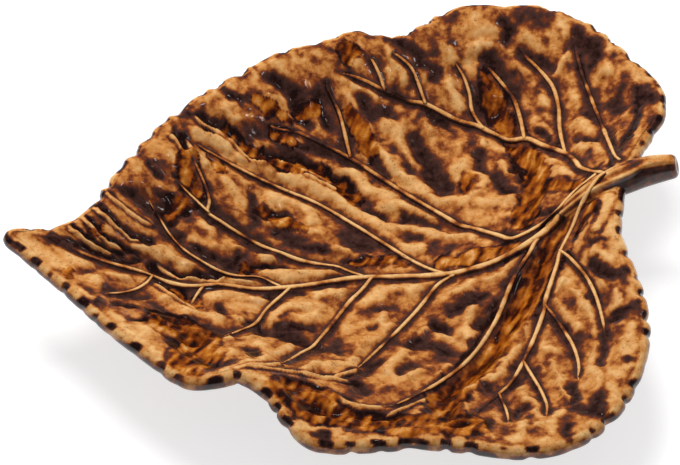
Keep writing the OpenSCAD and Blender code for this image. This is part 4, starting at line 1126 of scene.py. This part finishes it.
def brown_glaze_on_earthenware(finish):
    """Lead-type brown glaze, dipped and fired over pressed earthenware.

    The glaze is a clear, wet-looking coat. It runs off raised clay, which shows caramel,
    and gathers in hollows, where it goes through red-brown to nearly black.
    """
    material, tree = new_material("brown_glaze_on_earthenware")
    place = add_node(tree, "ShaderNodeTexCoord").outputs["Object"]
    # The glaze's depth, into which painted shade, sheen and highlights are mixed
    depth = add_node(tree, "ShaderNodeAttribute", attribute_name="glaze_depth_and_painted_light").outputs["Fac"]
    amber = add_node(tree, "ShaderNodeAttribute", attribute_name="amber_pool").outputs["Fac"]
    # The glaze breaks up into mottles of about 4 mm, whose edges are frayed by flecks of 1.6 mm
    large = add_node(
        tree, "ShaderNodeTexNoise",
        {"Vector": place, "Scale": 1 / (4 * MM), "Detail": 3, "Roughness": 0.52, "Distortion": 0.3},
    ).outputs["Fac"]
    large_shift = add_node(
        tree, "ShaderNodeMapRange",
        {"Value": large, "From Min": 0.3, "From Max": 0.7, "To Min": -0.12, "To Max": 0.12},
    ).outputs["Result"]
    fine = add_node(
        tree, "ShaderNodeTexNoise",
        {"Vector": place, "Scale": 1 / (1.6 * MM), "Detail": 3, "Roughness": 0.6},
    ).outputs["Fac"]
    fine_shift = add_node(
        tree, "ShaderNodeMapRange",
        {"Value": fine, "From Min": 0.3, "From Max": 0.7, "To Min": -0.09, "To Max": 0.09},
    ).outputs["Result"]
    total = add_node(tree, "ShaderNodeMath", {0: depth, 1: large_shift}, operation="ADD").outputs[0]
    total = add_node(tree, "ShaderNodeMath", {0: total, 1: fine_shift}, operation="ADD").outputs[0]
    # In the clear pools the glaze has run in soft streaks 3 mm wide and 9 mm long, down the leaf
    run = add_node(
        tree, "ShaderNodeMapping",
        {"Vector": place, "Rotation": (0, 0, np.radians(58)), "Scale": (9 * MM, 3 * MM, 5 * MM)},
        vector_type="TEXTURE",
    ).outputs["Vector"]
    streaks = add_node(
        tree, "ShaderNodeTexNoise",
        {"Vector": run, "Scale": 1.0, "Detail": 1, "Roughness": 0.5, "Distortion": 0.2},
    ).outputs["Fac"]
    streaks = add_node(
        tree, "ShaderNodeMapRange",
        {"Value": streaks, "From Min": 0.33, "From Max": 0.67, "To Min": -0.30, "To Max": 0.34},
    ).outputs["Result"]
    total = add_node(
        tree, "ShaderNodeMath", {0: streaks, 1: amber, 2: total}, operation="MULTIPLY_ADD"
    ).outputs[0]
    # The dark stop of this ramp is greyed with a painted sheen
    brown = add_node(
        tree, "ShaderNodeValToRGB", {"Fac": total},
        stops=(
            (0, finish.thin_glaze), (1, finish.pooled_glaze), (0.37, finish.caramel_glaze),
            (0.50, finish.tawny_glaze), (0.60, finish.brown_glaze), (0.72, finish.dark_glaze),
        ),
    ).outputs["Color"]
    clear = add_node(
        tree, "ShaderNodeValToRGB", {"Fac": total},
        stops=(
            (0, finish.thin_glaze), (1, finish.pooled_glaze), (0.30, finish.pale_amber),
            (0.56, finish.amber_glaze), (0.80, finish.deep_amber),
        ),
    ).outputs["Color"]
    body = add_node(
        tree, "ShaderNodeMix", {0: amber, 6: brown, 7: clear}, data_type="RGBA"
    ).outputs[2]
    # Specks of iron, a third of a millimetre to one across, in swarms that follow the mottles
    grain = add_node(
        tree, "ShaderNodeTexNoise", {"Vector": place, "Scale": 1 / (0.85 * MM), "Detail": 1}
    ).outputs["Fac"]
    speck = add_node(
        tree, "ShaderNodeMapRange",
        {"Value": grain, "From Min": 0.61, "From Max": 0.69, "To Min": 0.0, "To Max": 0.50},
    ).outputs["Result"]
    swarm = add_node(
        tree, "ShaderNodeMapRange",
        {"Value": large, "From Min": 0.38, "From Max": 0.58, "To Min": 0.15, "To Max": 1.0},
    ).outputs["Result"]
    speck = add_node(tree, "ShaderNodeMath", {0: speck, 1: swarm}, operation="MULTIPLY").outputs[0]
    body = add_node(
        tree, "ShaderNodeMix", {0: speck, 6: body, 7: finish.iron_specks}, data_type="RGBA"
    ).outputs[2]
    # The fired glaze lies a little uneven, in waves of 3 mm
    waves = add_node(
        tree, "ShaderNodeTexNoise", {"Vector": place, "Scale": 1 / (3 * MM), "Detail": 2}
    ).outputs["Fac"]
    bump = add_node(
        tree, "ShaderNodeBump", {"Height": waves, "Distance": 0.018 * MM, "Strength": 1.0}
    ).outputs["Normal"]
    shader = add_node(
        tree, "ShaderNodeBsdfPrincipled",
        {"Base Color": body, "Roughness": finish.gloss, "IOR": 1.52, "Normal": bump},
    ).outputs["BSDF"]
    add_node(tree, "ShaderNodeOutputMaterial", {"Surface": shader})
    return material


def bare_fired_clay(finish):
    """Unglazed fired earthenware, wiped clean before the firing: matt, grainy and pale."""
    material, tree = new_material("bare_fired_clay")
    place = add_node(tree, "ShaderNodeTexCoord").outputs["Object"]
    # Grit of about 0.6 mm, and stains of a centimetre where the table has rubbed it
    grit = add_node(
        tree, "ShaderNodeTexNoise", {"Vector": place, "Scale": 1 / (0.6 * MM), "Detail": 3}
    ).outputs["Fac"]
    stain = add_node(
        tree, "ShaderNodeTexNoise", {"Vector": place, "Scale": 1 / (12 * MM), "Detail": 4}
    ).outputs["Fac"]
    body = add_node(
        tree, "ShaderNodeValToRGB", {"Fac": stain},
        stops=((0, hex_to_linear("#A87848")), (1, hex_to_linear("#D2AC80")), (0.5, finish.bare_clay)),
    ).outputs["Color"]
    bump = add_node(
        tree, "ShaderNodeBump", {"Height": grit, "Distance": 0.12 * MM, "Strength": 0.8}
    ).outputs["Normal"]
    shader = add_node(
        tree, "ShaderNodeBsdfPrincipled", {"Base Color": body, "Roughness": 0.88, "Normal": bump}
    ).outputs["BSDF"]
    add_node(tree, "ShaderNodeOutputMaterial", {"Surface": shader})
    return material


def material_from(make, finish):
    """The material that a function makes, which has its name and is made once."""
    return bpy.data.materials.get(make.__name__) or make(finish)


# Pieces

def blade_face(sizes):
    """Rings of the dish's inside from its middle outwards, with 8 more points in each ring.

    Ring k is the rim drawn in to the share s = edge share times k / rings of the way from
    the middle, and to s^0.8 along the midrib. The valleys between the teeth run on inwards
    as pleats: their depth is the valley's times (1 - way from the rim / reach)^2.
    """
    rim, _, around = rim_line(sizes, RIM_STATIONS)
    valley, pointed, _ = tooth_valleys(rim, around, sizes)
    middle = middle_of(sizes)
    rings = [middle[None]]
    pleats = [np.zeros(1)]
    for k in range(1, FACE_RINGS + 1):
        out = FACE_EDGE_SHARE * k / FACE_RINGS
        along_rim = round_again(np.column_stack([rim[:, :2], valley, pointed]), 8 * k)
        edge, here, sharp = np.split(along_rim, [2, 3], 1)
        rings.append(middle + (edge - middle) * (out**0.8, out))
        way = np.linalg.norm(edge - rings[-1], axis=1)
        reach = (3.0 + 3.0 * sharp[:, 0]) * MM
        pleats.append((here[:, 0] - 0.3) * np.maximum(1 - way / reach, 0) ** 2)
    spots = np.vstack(rings)
    pleat = np.concatenate(pleats)
    height, glaze, amber = leaf_surface(spots, sizes)
    height -= sizes.pleat_depth * pleat
    glaze += 0.40 * pleat
    return np.column_stack([spots, height]), glaze, amber, [len(ring) for ring in rings]


def tooth_valleys(rim, around, sizes):
    """How deep in a valley each station lies, how pointed its teeth are, and how dark it is.

    The valley is (half of 1 + cos(2 pi phase)) to a power, and along the far side there is a
    lesser one halfway between the others. The phase strays, so that the pinches are uneven.
    The power is small towards the far left, where the teeth are pointed, and the pinches
    fade near the notch, at the tip and along the smooth roll beside it.
    """
    run = np.arange(RIM_STATIONS) / RIM_STATIONS
    teeth = round(around / sizes.tooth_pitch)
    circle = 2 * np.pi * run
    stray = ripple(np.cos(circle), np.sin(circle), 0.13, 8)
    uneven = ripple(np.cos(circle), np.sin(circle), 0.10, 3)
    phase = run * teeth + 0.55 * stray
    pointed = ease(-rim[:, 0], 0, 40 * MM) * ease(rim[:, 1], 0, 20 * MM)
    valley = (0.5 + 0.5 * np.cos(2 * np.pi * phase)) ** (2.4 - 1.4 * pointed)
    small = (0.5 + 0.5 * np.cos(4 * np.pi * (phase + 0.2 * uneven) + np.pi)) ** 2
    valley = np.maximum(valley, 0.55 * small * ease(rim[:, 1], 0, 30 * MM))
    calm = np.ones(RIM_STATIONS)
    for x, y, reach in CALM_SHARES:
        away = np.hypot(rim[:, 0] - x * sizes.leaf_length, rim[:, 1] - y * sizes.leaf_width)
        calm *= 0.35 + 0.65 * ease(away, 0.4 * reach * sizes.leaf_length, reach * sizes.leaf_length)
    strength = np.clip(0.70 + 0.9 * uneven, 0.12, 1.3)
    return valley * strength * calm, pointed, np.sqrt(valley) * (0.35 + 0.65 * strength)


def blade_bead(sizes):
    """The rounded rim: circles about its centre line, pinched in the valleys, and its glaze, with painted
    shade down its outer side.
    """
    rim, out, around = rim_line(sizes, RIM_STATIONS)
    valley, _, dark = tooth_valleys(rim, around, sizes)
    # How far the rim faces the front, where its outer side gets more painted shade
    front_shade = np.clip(0.5 - 0.9 * out[:, 1], 0, 1)
    rings = []
    glazes = []
    ambers = []
    for degrees in BEAD_ANGLES:
        turn = np.radians(degrees)
        pinch = np.clip(0.45 + 0.55 * np.cos(turn - 0.35), 0, 1)
        radius = sizes.rim_radius - sizes.rim_glaze - sizes.tooth_depth * valley * pinch
        spots = rim[:, :2] + out * (radius * np.cos(turn))[:, None]
        height = rim[:, 2] + radius * np.sin(turn)
        height += (stem_skirt(spots, height, sizes) - height) * max(np.sin(turn), 0)
        rings.append(np.column_stack([spots, height]))
        _, inside, amber = leaf_surface(spots, sizes)
        x, y = spots.T
        mottle = cloud(x, y + height, *RIM_CLOUD)
        # The glaze runs off the rim's top; its outer side is darker with gathered glaze and painted shade,
        # most where it faces the front
        low = ease(-degrees, -52, -2)
        spot = dark * np.exp(-(((degrees - SPOT_ANGLE) / SPOT_SPREAD) ** 2)) + 0.28 * mottle
        crimped = RIM_GLAZE + 0.22 * mottle + 0.70 * ease(spot, 0.24, 0.60)
        crimped += (LOW_RIM_GLAZE_AND_SHADE + 0.40 * mottle - crimped) * low * (0.60 + 0.40 * front_shade)
        upper = ease(degrees, 70, 103)
        glazes.append(crimped + (inside - crimped) * upper)
        ambers.append(amber * upper)
    return np.vstack(rings), np.concatenate(glazes), np.concatenate(ambers)


def blade_belly(sizes):
    """Rings of the underside from the rim to the foot ring's seat and on to the middle."""
    rim, _, _ = rim_line(sizes, RIM_STATIONS)
    middle = middle_of(sizes)
    seat_radius = sizes.foot_radius + sizes.rim_radius / 2
    rings = []
    for count, part in zip(BELLY_COUNTS, np.linspace(BELLY_EDGE_SHARE, 0, len(BELLY_COUNTS))):
        edge = round_again(rim[:, :2], count)
        way = edge - middle
        seat = middle + way / np.linalg.norm(way, axis=1, keepdims=True) * seat_radius
        rings.append(seat + (edge - seat) * part)
    last = rings[-1]
    for count, part in SEAT_SHARES:
        rings.append(middle + (round_again(last, count) - middle) * part)
    rings.append(middle[None])
    spots = np.vstack(rings)
    # The underside is dark glaze with painted shade, mottled
    glaze = BELLY_GLAZE_AND_SHADE + 0.30 * cloud(spots[:, 0], spots[:, 1], *BELLY_CLOUD)
    points = np.column_stack([spots, belly_height(spots, sizes)])
    return points, glaze, [len(ring) for ring in rings]


def tube(centre, aside, above, half, tall, sides):
    """Points of an oval carried along a path: centre + half cos(a) aside + tall sin(a) above."""
    angle = np.arange(sides) / sides * 2 * np.pi
    across = np.cos(angle)[None, :, None] * aside[:, None] * half[:, :, None]
    upright = np.sin(angle)[None, :, None] * above[:, None] * tall[:, :, None]
    return (centre[:, None] + across + upright).reshape(-1, 3)


def vein_ridge(route, thick, thin, sizes):
    """A vein's round back as a closed tapered tube sunk in the leaf, and its glaze.

    Its section is an ellipse whose middle lies 0.38 of its half width under the leaf. At its
    end that is nearly a whole one, so that it dies away into the wall, and at its start
    hardly any, so that it grows out of the back of the vein that it leaves. It starts half a
    millimetre before its route and is slimmer there. Thin glaze on its top thickens down its
    sides, and the pale top also stands for a painted highlight along the crest.
    """
    route = np.array(route) * plan_scale(sizes)
    back = route[0] - route[1]
    root = route[0] + VEIN_ROOT * back / np.linalg.norm(back)
    curve = smooth_curve(np.vstack([root, route]), 12)
    _, size = even_places(curve, 8)
    count = round(size / VEIN_STEP)
    spots, _ = even_places(curve, count)
    along = np.linspace(0, 1, count + 1)
    height, _, _ = leaf_surface(spots, sizes)
    east, _, _ = leaf_surface(spots + (SLOPE_STEP, 0), sizes)
    north, _, _ = leaf_surface(spots + (0, SLOPE_STEP), sizes)
    height = np.maximum(height, stem_top(spots, sizes))
    soft = np.convolve(np.pad(height, 3, mode="edge"), np.ones(7) / 7, mode="valid")
    slope = np.column_stack([height - east, height - north]) / SLOPE_STEP
    above = np.column_stack([slope, np.ones(count + 1)])
    above[:, :2] = np.clip(above[:, :2], -0.8, 0.8)
    above /= np.linalg.norm(above, axis=1, keepdims=True)
    centre = np.column_stack([spots, soft])
    way = np.gradient(centre, axis=0)
    way /= np.linalg.norm(way, axis=1, keepdims=True)
    aside = np.cross(above, way)
    aside /= np.linalg.norm(aside, axis=1, keepdims=True)
    above = np.cross(way, aside)
    end = np.sqrt(np.clip((1 - along) * 10, 0.02, 1))
    uneven = 1 + 0.12 * ripple(spots[:, 0], spots[:, 1], 5 * MM, 63)
    far = ease(spots[:, 1], 15 * MM, 55 * MM)
    slim = (0.70 + 0.20 * ease(along, 0, 0.3)) * (1 + 0.30 * far) if thick < 0.9 else 1.0
    half = sizes.vein_back * (thick + (thin - thick) * along) * end * uneven * slim
    sunk = 0.38 + 0.57 * ease(along, 0.75, 1.0) - 0.34 * ease(-along * size, -5 * MM, 0)
    centre = centre - above * (half * sunk)[:, None]
    angle = np.arange(VEIN_SIDES) / VEIN_SIDES * 2 * np.pi
    high = np.tile(np.sin(angle), (count + 1, 1))
    wide = np.repeat(half[:, None], VEIN_SIDES, 1)
    ring = tube(centre, aside, above, wide, VEIN_TALL_SHARE * wide, VEIN_SIDES)
    patchy = cloud(spots[:, 0], spots[:, 1], *VEIN_CLOUD)[:, None]
    # Pale on top and darker down the sides: thinner glaze, with a painted highlight along the crest
    glaze = VEIN_TOP_GLAZE_AND_HIGHLIGHT + 0.15 * far[:, None] + 0.80 * ease(-high, -0.99, -0.30)
    glaze += 0.60 * np.maximum(patchy, -0.16)
    glaze += 0.35 * ease(along, 0.70, 1.0)[:, None]
    points = np.vstack([centre[:1], ring, centre[-1:]])
    glaze = np.concatenate([[0.5], glaze.ravel(), [0.6]])
    return points, skin_faces([1] + [VEIN_SIDES] * (count + 1) + [1]), glaze


def stem_top(spots, sizes):
    """Height of the stem's back over each spot: its axis + sqrt(radius^2 - gap^2), or 0 beside it."""
    line = stem_line(sizes)
    near, gap, along = route_reach(spots, line, 6 * MM)
    fine = smooth_curve(line, 4)
    at = np.linspace(0, 1, len(fine))
    radius = np.interp(along, at, fine[:, 3])
    axis = np.interp(along, at, fine[:, 2])
    top = np.zeros(len(spots))
    top[near] = np.where(gap < radius, axis + np.sqrt(np.maximum(radius**2 - gap**2, 0)), 0)
    return top


def stem_coil(sizes):
    """The stem as a closed tube with a rounded cut end, ridged where the veins run onto it.

    The radius is the stem's times 1 + the sum of height times the bell exp(-(turn / spread)^2)
    of each ridge, less an even share, so that it never exceeds the plain stem's.
    """
    line = smooth_curve(stem_line(sizes), 10)
    centre = line[:, :3]
    along = np.gradient(centre, axis=0)
    along /= np.linalg.norm(along, axis=1, keepdims=True)
    radius = line[:, 3] - STEM_MARGIN
    # The cut end: a rounded edge, then a face that is a little hollow
    turns = np.radians(CUT_TURNS)
    edge = 0.40 * radius[-1]
    ahead = np.append(np.sin(turns), np.ones(len(CUT_END_SHARES)))[:, None]
    end = centre[-1] + along[-1] * sizes.stem_end_round * ahead
    end[-len(CUT_HOLLOW_SHARES):] -= (
        along[-1] * 0.25 * sizes.stem_end_round * np.array(CUT_HOLLOW_SHARES)[:, None]
    )
    end_radius = np.append(
        radius[-1] - edge * (1 - np.cos(turns)), radius[-1] * np.array(CUT_END_SHARES)
    )
    centres = np.vstack([centre, end])
    radii = np.concatenate([radius, end_radius])
    along = np.vstack([along, np.repeat(along[-1:], len(end), 0)])
    aside = np.cross([0, 0, 1], along)
    aside /= np.linalg.norm(aside, axis=1, keepdims=True)
    above = np.cross(along, aside)
    turn = np.arange(STEM_SIDES) / STEM_SIDES
    place = np.minimum(np.arange(len(centres)) / len(line), 1)[:, None]
    ridge = np.zeros((len(centres), STEM_SIDES))
    for where, height, reach in STEM_RIDGE_SHARES:
        off = (turn[None] - where + 0.02 * np.sin(9 * place) + 0.5) % 1 - 0.5
        bell = np.exp(-((off / STEM_RIDGE_SPREAD_SHARE) ** 2))
        ridge += height * bell * (1 - ease(place, 0.7 * reach, reach))
    over = ease(np.sin(2 * np.pi * turn), -0.3, 0.4)[None] * (1 - ease(place, 0.60, 0.95))
    spread = radii[:, None] * (1 - 0.13 * over + ridge)
    points = tube(centres, aside, above, spread, spread, STEM_SIDES)
    lumps = cloud(points[:, 0], points[:, 1] + points[:, 2], *STEM_CLOUD).reshape(-1, STEM_SIDES)
    # Glaze gathers between the stem's ridges and runs off these; the free part of the stem is darker on its
    # near side and underneath, partly gathered glaze and partly painted shade
    near_shade_and_pool = ease(turn, 0.345, 0.375) * ease(-turn, -1.0, -0.9) * ease(place, 0.40, 0.55)
    glaze = STEM_GLAZE + 0.26 * lumps + 0.50 * near_shade_and_pool + 0.40 * over - 3.8 * ridge * over
    glaze = np.minimum(glaze, 0.83 + 0.12 * lumps)
    number = np.arange(len(centres))[:, None]
    # The cut face is darker on the same side, with painted shade
    glaze = np.where(number >= len(line), CUT_GLAZE + 0.20 * lumps + 0.25 * near_shade_and_pool, glaze)
    glaze = np.where(number == len(line) + len(turns) - 1, CUT_EDGE_GLAZE, glaze)
    points = np.vstack([centres[:1], points, centres[-1:]])
    glaze = np.concatenate([[0.5], glaze.ravel(), [0.45]])
    return points, skin_faces([1] + [STEM_SIDES] * len(centres) + [1]), glaze


def foot_lathe(sizes):
    """The foot ring's profile turned about the dish's middle, and closed inside the blade.

    A point at the share a across and b up lies at foot radius - width (1 - a) from the
    middle and at b times the foot's height, with turning marks a few hundredths deep.
    """
    profile = smooth_curve(np.array(FOOT_SHARES), 3)
    profile[:, 1] = np.clip(profile[:, 1], 0, 1.3)
    profile[:, 0] = np.clip(profile[:, 0], 0, 1)
    turn = np.arange(FOOT_STEPS) / FOOT_STEPS * 2 * np.pi
    out = sizes.foot_radius - sizes.foot_width * (1 - profile[:, 0])
    marks = TURNING_MARK * np.sin(turn * 3)[:, None] * (profile[:, 1] > 0.3) * (profile[:, 1] < 0.95)
    out = out[None] - np.abs(marks)
    middle = middle_of(sizes)
    points = np.stack([
        middle[0] + out * np.cos(turn)[:, None],
        middle[1] + out * np.sin(turn)[:, None],
        np.broadcast_to(profile[:, 1] * sizes.foot_height, out.shape),
    ], 2)
    n = len(profile)
    a = (np.arange(FOOT_STEPS)[:, None] * n + np.arange(n)[None]).ravel()
    b = (np.arange(FOOT_STEPS)[:, None] * n + (np.arange(n)[None] + 1) % n).ravel()
    c = (a + n) % (FOOT_STEPS * n)
    d = (b + n) % (FOOT_STEPS * n)
    faces = np.vstack([np.stack([a, b, c], 1), np.stack([b, d, c], 1)])
    return points.reshape(-1, 3), faces


# Operators

class LEAFDISH_OT_add_blade(bpy.types.Operator):
    """Add the pressed leaf: its inside with folds and crests, its crimped rim and its underside"""

    bl_idname = "leaf_dish.add_blade"
    bl_label = "Add blade"

    def execute(self, context):
        sizes = context.scene.leaf_dish_sizes
        finish = context.scene.leaf_dish_finish
        face, face_glaze, face_amber, face_counts = blade_face(sizes)
        bead, bead_glaze, bead_amber = blade_bead(sizes)
        belly, belly_glaze, belly_counts = blade_belly(sizes)
        points = np.vstack([face, bead, belly])
        faces = skin_faces(face_counts + [RIM_STATIONS] * len(BEAD_ANGLES) + belly_counts)
        faces = outward(points, faces)
        fields = {
            "glaze_depth_and_painted_light": np.concatenate([face_glaze, bead_glaze, belly_glaze]),
            "amber_pool": np.concatenate([face_amber, bead_amber, np.zeros(len(belly))]),
        }
        material = material_from(brown_glaze_on_earthenware, finish)
        add_piece("leaf_blade_glazed", points, faces, fields, "leaf_blade", material)
        return {"FINISHED"}


class LEAFDISH_OT_add_veins(bpy.types.Operator):
    """Add the veins' round backs, which stand out of the leaf and taper towards its edge"""

    bl_idname = "leaf_dish.add_veins"
    bl_label = "Add veins"

    def execute(self, context):
        sizes = context.scene.leaf_dish_sizes
        finish = context.scene.leaf_dish_finish
        points = []
        faces = []
        glazes = []
        first = 0
        for route, thick, thin in VEIN_SHARES:
            ridge, ridge_faces, glaze = vein_ridge(route, thick, thin, sizes)
            points.append(ridge)
            faces.append(outward(ridge - ridge.mean(0), ridge_faces) + first)
            glazes.append(glaze)
            first += len(ridge)
        points = np.vstack(points)
        faces = np.vstack(faces)
        fields = {"glaze_depth_and_painted_light": np.concatenate(glazes), "amber_pool": np.zeros(len(points))}
        material = material_from(brown_glaze_on_earthenware, finish)
        add_piece("leaf_veins_glazed", points, faces, fields, "leaf_blade", material)
        return {"FINISHED"}


class LEAFDISH_OT_add_stem(bpy.types.Operator):
    """Add the hand-rolled stem, which tapers to a cut end with a rounded edge"""

    bl_idname = "leaf_dish.add_stem"
    bl_label = "Add stem"

    def execute(self, context):
        finish = context.scene.leaf_dish_finish
        points, faces, glaze = stem_coil(context.scene.leaf_dish_sizes)
        faces = outward(points, faces)
        fields = {"glaze_depth_and_painted_light": glaze, "amber_pool": np.zeros(len(points))}
        material = material_from(brown_glaze_on_earthenware, finish)
        add_piece("stem_coil_glazed", points, faces, fields, "stem_handle", material)
        return {"FINISHED"}


class LEAFDISH_OT_add_foot(bpy.types.Operator):
    """Add the turned foot ring, bare of glaze"""

    bl_idname = "leaf_dish.add_foot"
    bl_label = "Add foot ring"

    def execute(self, context):
        finish = context.scene.leaf_dish_finish
        points, faces = foot_lathe(context.scene.leaf_dish_sizes)
        faces = outward(points, faces)
        material = material_from(bare_fired_clay, finish)
        add_piece("foot_ring_turned", points, faces, {}, "foot_ring", material)
        return {"FINISHED"}


class LEAFDISH_OT_add_stage(bpy.types.Operator):
    """Add the pale floor, the soft studio light and the camera"""

    bl_idname = "leaf_dish.add_stage"
    bl_label = "Add stage"

    def execute(self, context):
        scene = context.scene
        finish = scene.leaf_dish_finish
        scene.view_settings.view_transform = "Standard"
        self.add_floor(scene, finish)
        self.add_world(scene)
        self.add_lamp(scene, "key_lamp", finish.key_lamp, *KEY_LAMP)
        self.add_lamp(scene, "glint_lamp", finish.glint_lamp, *GLINT_LAMP)
        self.add_camera(scene)
        return {"FINISHED"}

    def add_lamp(self, scene, name, watts, spot, size, glints):
        """A square lamp that points at the dish's middle."""
        light = bpy.data.lights.new(name, "AREA")
        light.shape = "SQUARE"
        light.size = size
        light.energy = watts
        lamp = bpy.data.objects.new(name, light)
        lamp.visible_glossy = glints
        lamp.location = spot
        lamp.rotation_euler = (-Vector(spot)).to_track_quat("-Z", "Y").to_euler()
        scene.collection.objects.link(lamp)

    def add_camera(self, scene):
        """A long lens that looks down on the dish from the front."""
        lens = bpy.data.cameras.new("camera")
        lens.lens = LENS
        lens.sensor_width = SENSOR_WIDTH
        lens.sensor_fit = "HORIZONTAL"
        lens.clip_start = NEAREST_SEEN
        camera = bpy.data.objects.new("camera", lens)
        way = Vector(CAMERA_AIM) - Vector(CAMERA_SPOT)
        camera.location = CAMERA_SPOT
        camera.rotation_euler = way.to_track_quat("-Z", "Y").to_euler()
        scene.collection.objects.link(camera)
        scene.camera = camera

    def add_floor(self, scene, finish):
        """A wide sheet of pale paper, which looks a little paler than its light makes it."""
        r = FLOOR_REACH
        mesh = bpy.data.meshes.new("studio_floor")
        mesh.from_pydata([(-r, -r, 0), (r, -r, 0), (r, r, 0), (-r, r, 0)], [], [(0, 1, 2, 3)])
        floor = bpy.data.objects.new("studio_floor", mesh)
        scene.collection.objects.link(floor)
        material, tree = new_material("studio_floor_paper")
        seen = self.seen_rays(tree)
        glow = add_node(tree, "ShaderNodeMath", {0: seen, 1: FLOOR_GLOW}, operation="MULTIPLY").outputs[0]
        shader = add_node(
            tree, "ShaderNodeBsdfPrincipled",
            {"Base Color": finish.floor, "Roughness": 0.9, "Emission Color": (1, 1, 1, 1),
             "Emission Strength": glow, "Specular IOR Level": 0.0},
        ).outputs["BSDF"]
        add_node(tree, "ShaderNodeOutputMaterial", {"Surface": shader})
        mesh.materials.append(material)

    def seen_rays(self, tree):
        """1 for rays from the camera and those that gloss or glass sends on, else 0."""
        rays = add_node(tree, "ShaderNodeLightPath")
        seen = rays.outputs["Is Camera Ray"]
        for name in ("Is Glossy Ray", "Is Transmission Ray"):
            seen = add_node(
                tree, "ShaderNodeMath", {0: seen, 1: rays.outputs[name]}, operation="MAXIMUM"
            ).outputs[0]
        return seen

    def add_world(self, scene):
        """A studio that is white to the camera, dim overhead to the gloss, and lights softly."""
        world = bpy.data.worlds.new("studio")
        world.use_nodes = True
        tree = world.node_tree
        tree.nodes.clear()
        way = add_node(tree, "ShaderNodeTexCoord").outputs["Generated"]
        up = add_node(tree, "ShaderNodeSeparateXYZ", {"Vector": way}).outputs["Z"]
        walls = add_node(
            tree, "ShaderNodeMapRange",
            {"Value": up, "From Min": 0.02, "From Max": 0.20, "To Min": 0.55, "To Max": 0.08},
        ).outputs["Result"]
        camera = add_node(tree, "ShaderNodeLightPath").outputs["Is Camera Ray"]
        shown = add_node(
            tree, "ShaderNodeMath", {0: walls, 1: camera}, operation="MAXIMUM"
        ).outputs[0]
        level = add_node(
            tree, "ShaderNodeMapRange",
            {"Value": self.seen_rays(tree), "To Min": WORLD_LIGHT, "To Max": shown},
        ).outputs["Result"]
        back = add_node(
            tree, "ShaderNodeBackground", {"Color": (1, 1, 1, 1), "Strength": level}
        ).outputs[0]
        add_node(tree, "ShaderNodeOutputWorld", {"Surface": back})
        scene.world = world


class LEAFDISH_PT_panel(bpy.types.Panel):
    """Lists the dish's sizes and colours and builds its pieces"""

    bl_label = "Leaf dish"
    bl_idname = "LEAFDISH_PT_panel"
    bl_space_type = "VIEW_3D"
    bl_region_type = "UI"
    bl_category = "Leaf dish"

    def draw(self, context):
        column = self.layout.column()
        for group in (context.scene.leaf_dish_sizes, context.scene.leaf_dish_finish):
            for label in group.bl_rna.properties.keys():
                if label not in ("rna_type", "name"):
                    column.prop(group, label)
        for operator in OPERATORS:
            column.operator(operator.bl_idname)


OPERATORS = (
    LEAFDISH_OT_add_blade, LEAFDISH_OT_add_veins, LEAFDISH_OT_add_stem, LEAFDISH_OT_add_foot,
    LEAFDISH_OT_add_stage,
)
CLASSES = (LeafDishSizes, LeafDishFinish, *OPERATORS, LEAFDISH_PT_panel)


def register():
    """Registers the classes and hangs the two groups of settings on the scene."""
    for kind in CLASSES:
        bpy.utils.register_class(kind)
    bpy.types.Scene.leaf_dish_sizes = bpy.props.PointerProperty(type=LeafDishSizes)
    bpy.types.Scene.leaf_dish_finish = bpy.props.PointerProperty(type=LeafDishFinish)


def unregister():
    """Takes the settings and the classes away again."""
    del bpy.types.Scene.leaf_dish_finish
    del bpy.types.Scene.leaf_dish_sizes
    for kind in reversed(CLASSES):
        bpy.utils.unregister_class(kind)


def main():
    """Registers the add-on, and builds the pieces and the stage."""
    register()
    bpy.ops.leaf_dish.add_blade()
    bpy.ops.leaf_dish.add_veins()
    bpy.ops.leaf_dish.add_stem()
    bpy.ops.leaf_dish.add_foot()
    bpy.ops.leaf_dish.add_stage()


if __name__ == "__main__":
    main()
